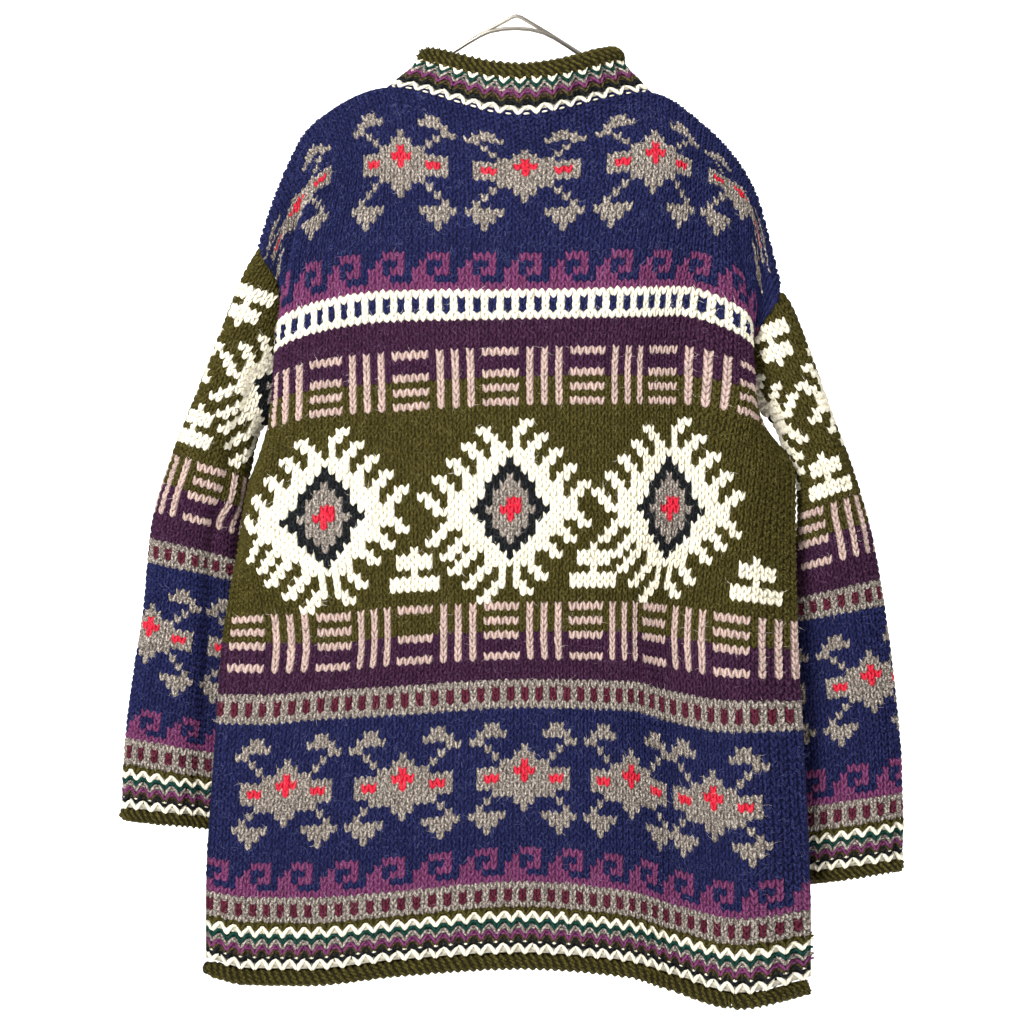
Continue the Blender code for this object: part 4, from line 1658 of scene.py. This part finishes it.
@dataclass
class Roll:
    """A rolled edge in reverse stocking stitch.

    Attributes:
        name: The piece's name.
        radius: Its radius in millimetres.
        stitches: How many stitches go round it.
        seed: Seed of its unevenness.
        drop: How far past the edge it hangs, less its radius.
        sink: How far below its surface its strands are rooted.
    """

    name: str
    radius: float
    stitches: int
    seed: int
    drop: float = -0.6
    sink: float = 1.6

    def line(self, edge: np.ndarray, before: np.ndarray, normals: np.ndarray) -> np.ndarray:
        """The roll's middle line, just past an edge.

        Args:
            edge: Points of the edge.
            before: Points of the cloth just before it.
            normals: The cloth's normals at the edge.

        Returns:
            The middle line, first point not repeated.
        """
        along = unit(np.roll(edge, -1, axis=0) - np.roll(edge, 1, axis=0))
        away = edge - before
        away = unit(away - along * np.sum(away * along, axis=1, keepdims=True))
        return edge - normals * 2.0 + away * (self.radius + self.drop)

    def build(self, edge: np.ndarray, before: np.ndarray, normals: np.ndarray,
              part: Part) -> bpy.types.Object:
        """Make the roll as a tube covered with purl bumps.

        Args:
            edge: Points of the edge.
            before: Points of the cloth just before it.
            normals: The cloth's normals at the edge.
            part: The part that the roll belongs to.

        Returns:
            The roll.
        """
        ring = even_ring(self.line(edge, before, normals), self.stitches * 2)
        along = unit(np.roll(ring[:-1], -1, axis=0) - np.roll(ring[:-1], 1, axis=0))
        middle = ring[:-1].mean(axis=0)
        out = unit(ring[:-1] - middle)
        out = unit(out - along * np.sum(out * along, axis=1, keepdims=True))
        side = np.cross(along, out)
        bumps = int(round(2 * math.pi * self.radius / 5.0))
        angles = np.linspace(0, 2 * math.pi, bumps * 2 + 1)
        wide = self.radius - self.sink
        points = (ring[None, :-1] + wide * (np.cos(angles)[:, None, None] * out[None]
                                            + np.sin(angles)[:, None, None] * side[None]))
        points = np.concatenate((points, points[:, :1]), axis=1)
        surface = KnitSurface(np.linspace(0, self.stitches, self.stitches * 2 + 1),
                              np.linspace(0, bumps, bumps * 2 + 1), points, True,
                              ring[None])
        builder = MeshBuilder()
        self.core(builder, surface, bumps)
        row, stitch = np.meshgrid(np.arange(bumps), np.arange(self.stitches), indexing="ij")
        u = (stitch + 0.35 * row).ravel().astype(float)
        v = row.ravel() + 0.5
        yarns = np.full(len(u), Yarn.OLIVE.value)
        plant(builder, surface, PURL_BUMP, u, v, yarns, self.seed)
        return part.keep(builder.build(self.name, Look.STRAND), "olive")

    def core(self, builder: MeshBuilder, surface: KnitSurface, bumps: int) -> None:
        """Add the plain tube under the bumps, darkened with painted shade.

        Args:
            builder: Where the tube goes.
            surface: The roll's surface.
            bumps: How many bumps go round it.
        """
        u = np.arange(self.stitches + 1, dtype=float)
        v = np.linspace(0, bumps, bumps * 2 + 1)
        u_grid, v_grid = np.meshgrid(u, v)
        placed = surface.at(u_grid, v_grid, np.full(u_grid.shape, -0.2))
        count, size = placed.shape[:2]
        low = (np.arange(count - 1)[:, None] * size + np.arange(size - 1)[None]).ravel()
        faces = np.concatenate((np.stack((low, low + 1, low + size + 1), axis=1),
                                np.stack((low, low + size + 1, low + size), axis=1)))
        # Painted shade: every point of the tube lies at the strand's edge, so it takes the
        # darkest painted shade of the strand material.
        strands = np.stack((u_grid * 0 + 1.0, v_grid), axis=-1).reshape(-1, 2)
        builder.add(placed.reshape(1, -1, 3), faces, np.array([Yarn.OLIVE.value]), strands,
                    surface.facing < 0)


@dataclass
class Collar(Part):
    """The collar that stands on the neck edge: rib and rolled top.

    Attributes:
        neck: Points of the neck edge, along the back and then along the front.
        centre_x: The middle of its top.
        half_width: Half the top's width.
        half_depth: Half its depth.
        neck_half_width: Half the neck edge's width.
        levels: Heights of the top at the back, at the sides and at the front.
        roll_radius: Radius of its rolled edge.
        roll_drop: How far past the top that edge hangs, less its radius.
        seed: Seed of its unevenness.
    """

    neck: np.ndarray = field(default_factory=lambda: np.zeros((0, 3)))
    centre_x: float = 3.0
    half_width: float = 84.0
    half_depth: float = 43.0
    neck_half_width: float = 104.5
    levels: tuple[float, float, float] = (-53.0, -40.0, -90.0)
    roll_radius: float = 7.9
    roll_drop: float = -2.4
    seed: int = 71

    def top_line(self) -> np.ndarray:
        """The upper end of the rib, each point above its point of the neck edge.

        Returns:
            The line's points.
        """
        back, side, front = self.levels
        wave_1 = (front - back) / 2
        wave_2 = (side - (front + back) / 2) / 2
        level = (front + back) / 2 + wave_2
        line = []
        for x, y, _z in self.neck:
            angle = math.atan2(y / self.half_depth, (x - self.centre_x) / self.neck_half_width)
            line.append((self.centre_x + self.half_width * math.cos(angle),
                         self.half_depth * math.sin(angle),
                         level + wave_1 * math.sin(angle) + wave_2 * math.cos(2 * angle)))
        return np.array(line)

    def build(self) -> None:
        """Make the rib and the roll."""
        count = COLLAR_STITCHES * 2
        base = even_ring(self.neck, count)
        top = even_ring(self.top_line(), count)
        rows = np.linspace(0, RIB_ROWS, RIB_ROWS * 2 + 1)
        share = (rows / RIB_ROWS)[:, None, None]
        points = base[None] * (1 - share) + top[None] * share
        surface = KnitSurface(np.linspace(0, COLLAR_STITCHES, count + 1), rows, points, True,
                              points.mean(axis=(0, 1)))
        knit = Knit(surface, rib_cells(COLLAR_RIB, COLLAR_STITCHES))
        cloth = self.keep(knit.cloth("collar_cloth"), "grey", "collar_rib")
        cords = self.keep(rib_mesh("collar_strands", surface, COLLAR_RIB, 0, 2.0,
                                   np.arange(1, COLLAR_STITCHES, 2), self.seed), "grey")
        edge = surface.points[-1, :-1]
        below = edge - unit(edge - surface.points[0, :-1]) - (0, 0, 0.35)
        roll = Roll("collar_edge", self.roll_radius, COLLAR_STITCHES, self.seed + 3,
                    self.roll_drop)
        piece = roll.build(edge, below, surface.normals[-1, :-1], self)
        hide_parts("collar_roll")


@dataclass
class Hanger(Part):
    """The steel wire: a rod from shoulder to shoulder and an arch under its peak."""

    nodes: tuple[str, ...] = ("hanger_rod", "hanger_arch")
    steel: Steel = Steel()

    def build(self) -> None:
        """Give both wires their finish; their solids are shown as they are."""
        steel = self.steel.material()
        for node in self.nodes:
            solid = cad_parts[node]
            for slot in solid.material_slots:
                slot.material = steel
            LOG.info("%s: finished", node)


@dataclass
class Studio:
    """Pale backdrop, soft light and the camera at the photograph's angle.

    Attributes:
        view_width: How much of the object's plane the picture spans, in metres.
        middle: The point that the camera faces.
        lens: Focal length in millimetres.
        floor: Height of the floor.
        floor_front: Where the floor begins.
        sweep: Radius of the bend between floor and wall.
        wall: How far back the wall stands.
        wall_top: Height of its top.
        reach: How far floor and wall run to each side.
    """

    view_width: float = 0.8294
    middle: tuple[float, float, float] = (-0.0036, 0.0, -0.4018)
    lens: float = 250.0
    floor: float = -1.05
    floor_front: float = -9.0
    sweep: float = 0.8
    wall: float = 8.0
    wall_top: float = 7.0
    reach: float = 12.0

    # Name, place, size in metres and power in watts of each light.
    LIGHTS = (("key", (-0.9, -2.1, 1.0), 0.8, 92.0),
              ("fill", (1.7, -2.2, 0.2), 1.6, 14.0),
              ("top", (0.1, -0.4, 1.5), 1.0, 16.0))
    DAYLIGHT = 0.24

    def build(self) -> None:
        """Make backdrop, lights, world and camera."""
        self.build_backdrop()
        for light in self.LIGHTS:
            self.add_light(*light)
        world = bpy.data.worlds.new("studio")
        bpy.context.scene.world = world
        world.use_nodes = True
        background = world.node_tree.nodes["Background"]
        background.inputs["Color"].default_value = (1.0, 1.0, 1.0, 1.0)
        background.inputs["Strength"].default_value = self.DAYLIGHT
        bpy.context.scene.view_settings.view_transform = "Standard"
        camera = add_object("camera", bpy.data.cameras.new("camera"))
        camera.data.lens = self.lens
        camera.data.sensor_width = 36.0
        distance = self.view_width * self.lens / camera.data.sensor_width
        camera.location = Vector(self.middle) - Vector((0.0, distance, 0.0))
        camera.rotation_euler = (math.pi / 2, 0.0, 0.0)
        camera.data.clip_end = 50.0
        bpy.context.scene.camera = camera

    def build_backdrop(self) -> None:
        """A floor that sweeps up into a wall, farther off than any view's camera."""
        profile = [(self.floor_front, self.floor)]
        for step in range(13):
            angle = step / 12 * math.pi / 2
            profile.append((self.wall - self.sweep + self.sweep * math.sin(angle),
                            self.floor + self.sweep - self.sweep * math.cos(angle)))
        profile.append((self.wall, self.wall_top))
        points = [(x, y, z) for y, z in profile for x in (-self.reach, self.reach)]
        faces = [(2 * i, 2 * i + 1, 2 * i + 3, 2 * i + 2) for i in range(len(profile) - 1)]
        mesh = bpy.data.meshes.new("backdrop")
        mesh.from_pydata(points, [], faces)
        mesh.polygons.foreach_set("use_smooth", np.ones(len(faces), bool))
        shader = Shader("pale_paper")
        shader.set(Base_Color=(0.93, 0.93, 0.93, 1.0), Roughness=0.9,
                   Emission_Color=(1.0, 1.0, 1.0, 1.0), Emission_Strength=0.9)
        mesh.materials.append(shader.material)
        backdrop = add_object("backdrop", mesh)

    def add_light(self, name: str, place: tuple, size: float, power: float) -> None:
        """Add a soft square light that faces the middle of the object.

        Args:
            name: The light's name.
            place: Where it is.
            size: The length of its sides.
            power: Its power in watts.
        """
        light = bpy.data.lights.new(name, "AREA")
        light.shape = "SQUARE"
        light.size = size
        light.energy = power
        lamp = add_object(name, light)
        lamp.location = place
        way = Vector(self.middle) - Vector(place)
        lamp.rotation_euler = way.to_track_quat("-Z", "Y").to_euler()


@dataclass
class Hem(Part):
    """The rolled edge that runs round the foot of both panels."""

    radius: float = 6.9
    drop: float = 0.9
    seed: int = 91

    def build(self, back: KnitSurface, front: KnitSurface) -> None:
        """Make the roll under the two ribs.

        Args:
            back: The back's surface.
            front: The front's surface.
        """
        foot = np.concatenate((back.points[0, :-1], front.points[0, :0:-1]))
        above = np.concatenate((back.points[4, :-1], front.points[4, :0:-1]))
        normals = np.concatenate((back.normals[0, :-1], front.normals[0, :0:-1]))
        roll = Roll("hem_edge", self.radius, PANEL_STITCHES * 2, self.seed, self.drop)
        piece = roll.build(foot, above, normals, self)
        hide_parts("hem_roll")


def armhole_loop(back: KnitSurface, front: KnitSurface, left: bool) -> np.ndarray:
    """Where a sleeve meets the body: down the back edge and up the front one.

    Args:
        back: The back's surface.
        front: The front's surface.
        left: Whether it is the left sleeve.

    Returns:
        The loop's points.
    """
    edge = 0.0 if left else float(PANEL_STITCHES)
    rows = np.linspace(SHOULDER_ROW, UNDERARM_ROW, 10)
    place = np.full(len(rows), edge)
    level = np.zeros(len(rows))
    down = back.at(place, rows, level) / MM
    up = front.at(place, rows[::-1], level) / MM
    return np.concatenate((down[:-1], up[:-1]))


def main() -> None:
    """Build every part in order and report it."""
    logging.basicConfig(level=logging.INFO, format="%(message)s")
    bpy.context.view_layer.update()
    back = Panel(side=Side.BACK)
    front = Panel(side=Side.FRONT, slot="purple", fibres=11000, seed=23)
    chart = body_chart()
    back.build(chart)
    front.build(chart)
    Hem().build(back.surface, front.surface)
    for side, seed in ((Side.LEFT, 41), (Side.RIGHT, 57)):
        loop = armhole_loop(back.surface, front.surface, side is Side.LEFT)
        Sleeve(side=side, loop=loop, seed=seed).build(sleeve_chart(side))
    neck_stitches = np.arange(NECK_FROM, NECK_TO + 1, 2, dtype=float)
    top = np.full(len(neck_stitches), float(SHOULDER_ROW))
    level = np.zeros(len(neck_stitches))
    neck = np.concatenate((back.surface.at(neck_stitches, top, level) / MM,
                           front.surface.at(neck_stitches[::-1], top, level) / MM))
    Collar(neck=neck).build()
    Hanger().build()
    Studio().build()


if __name__ == "__main__":
    main()
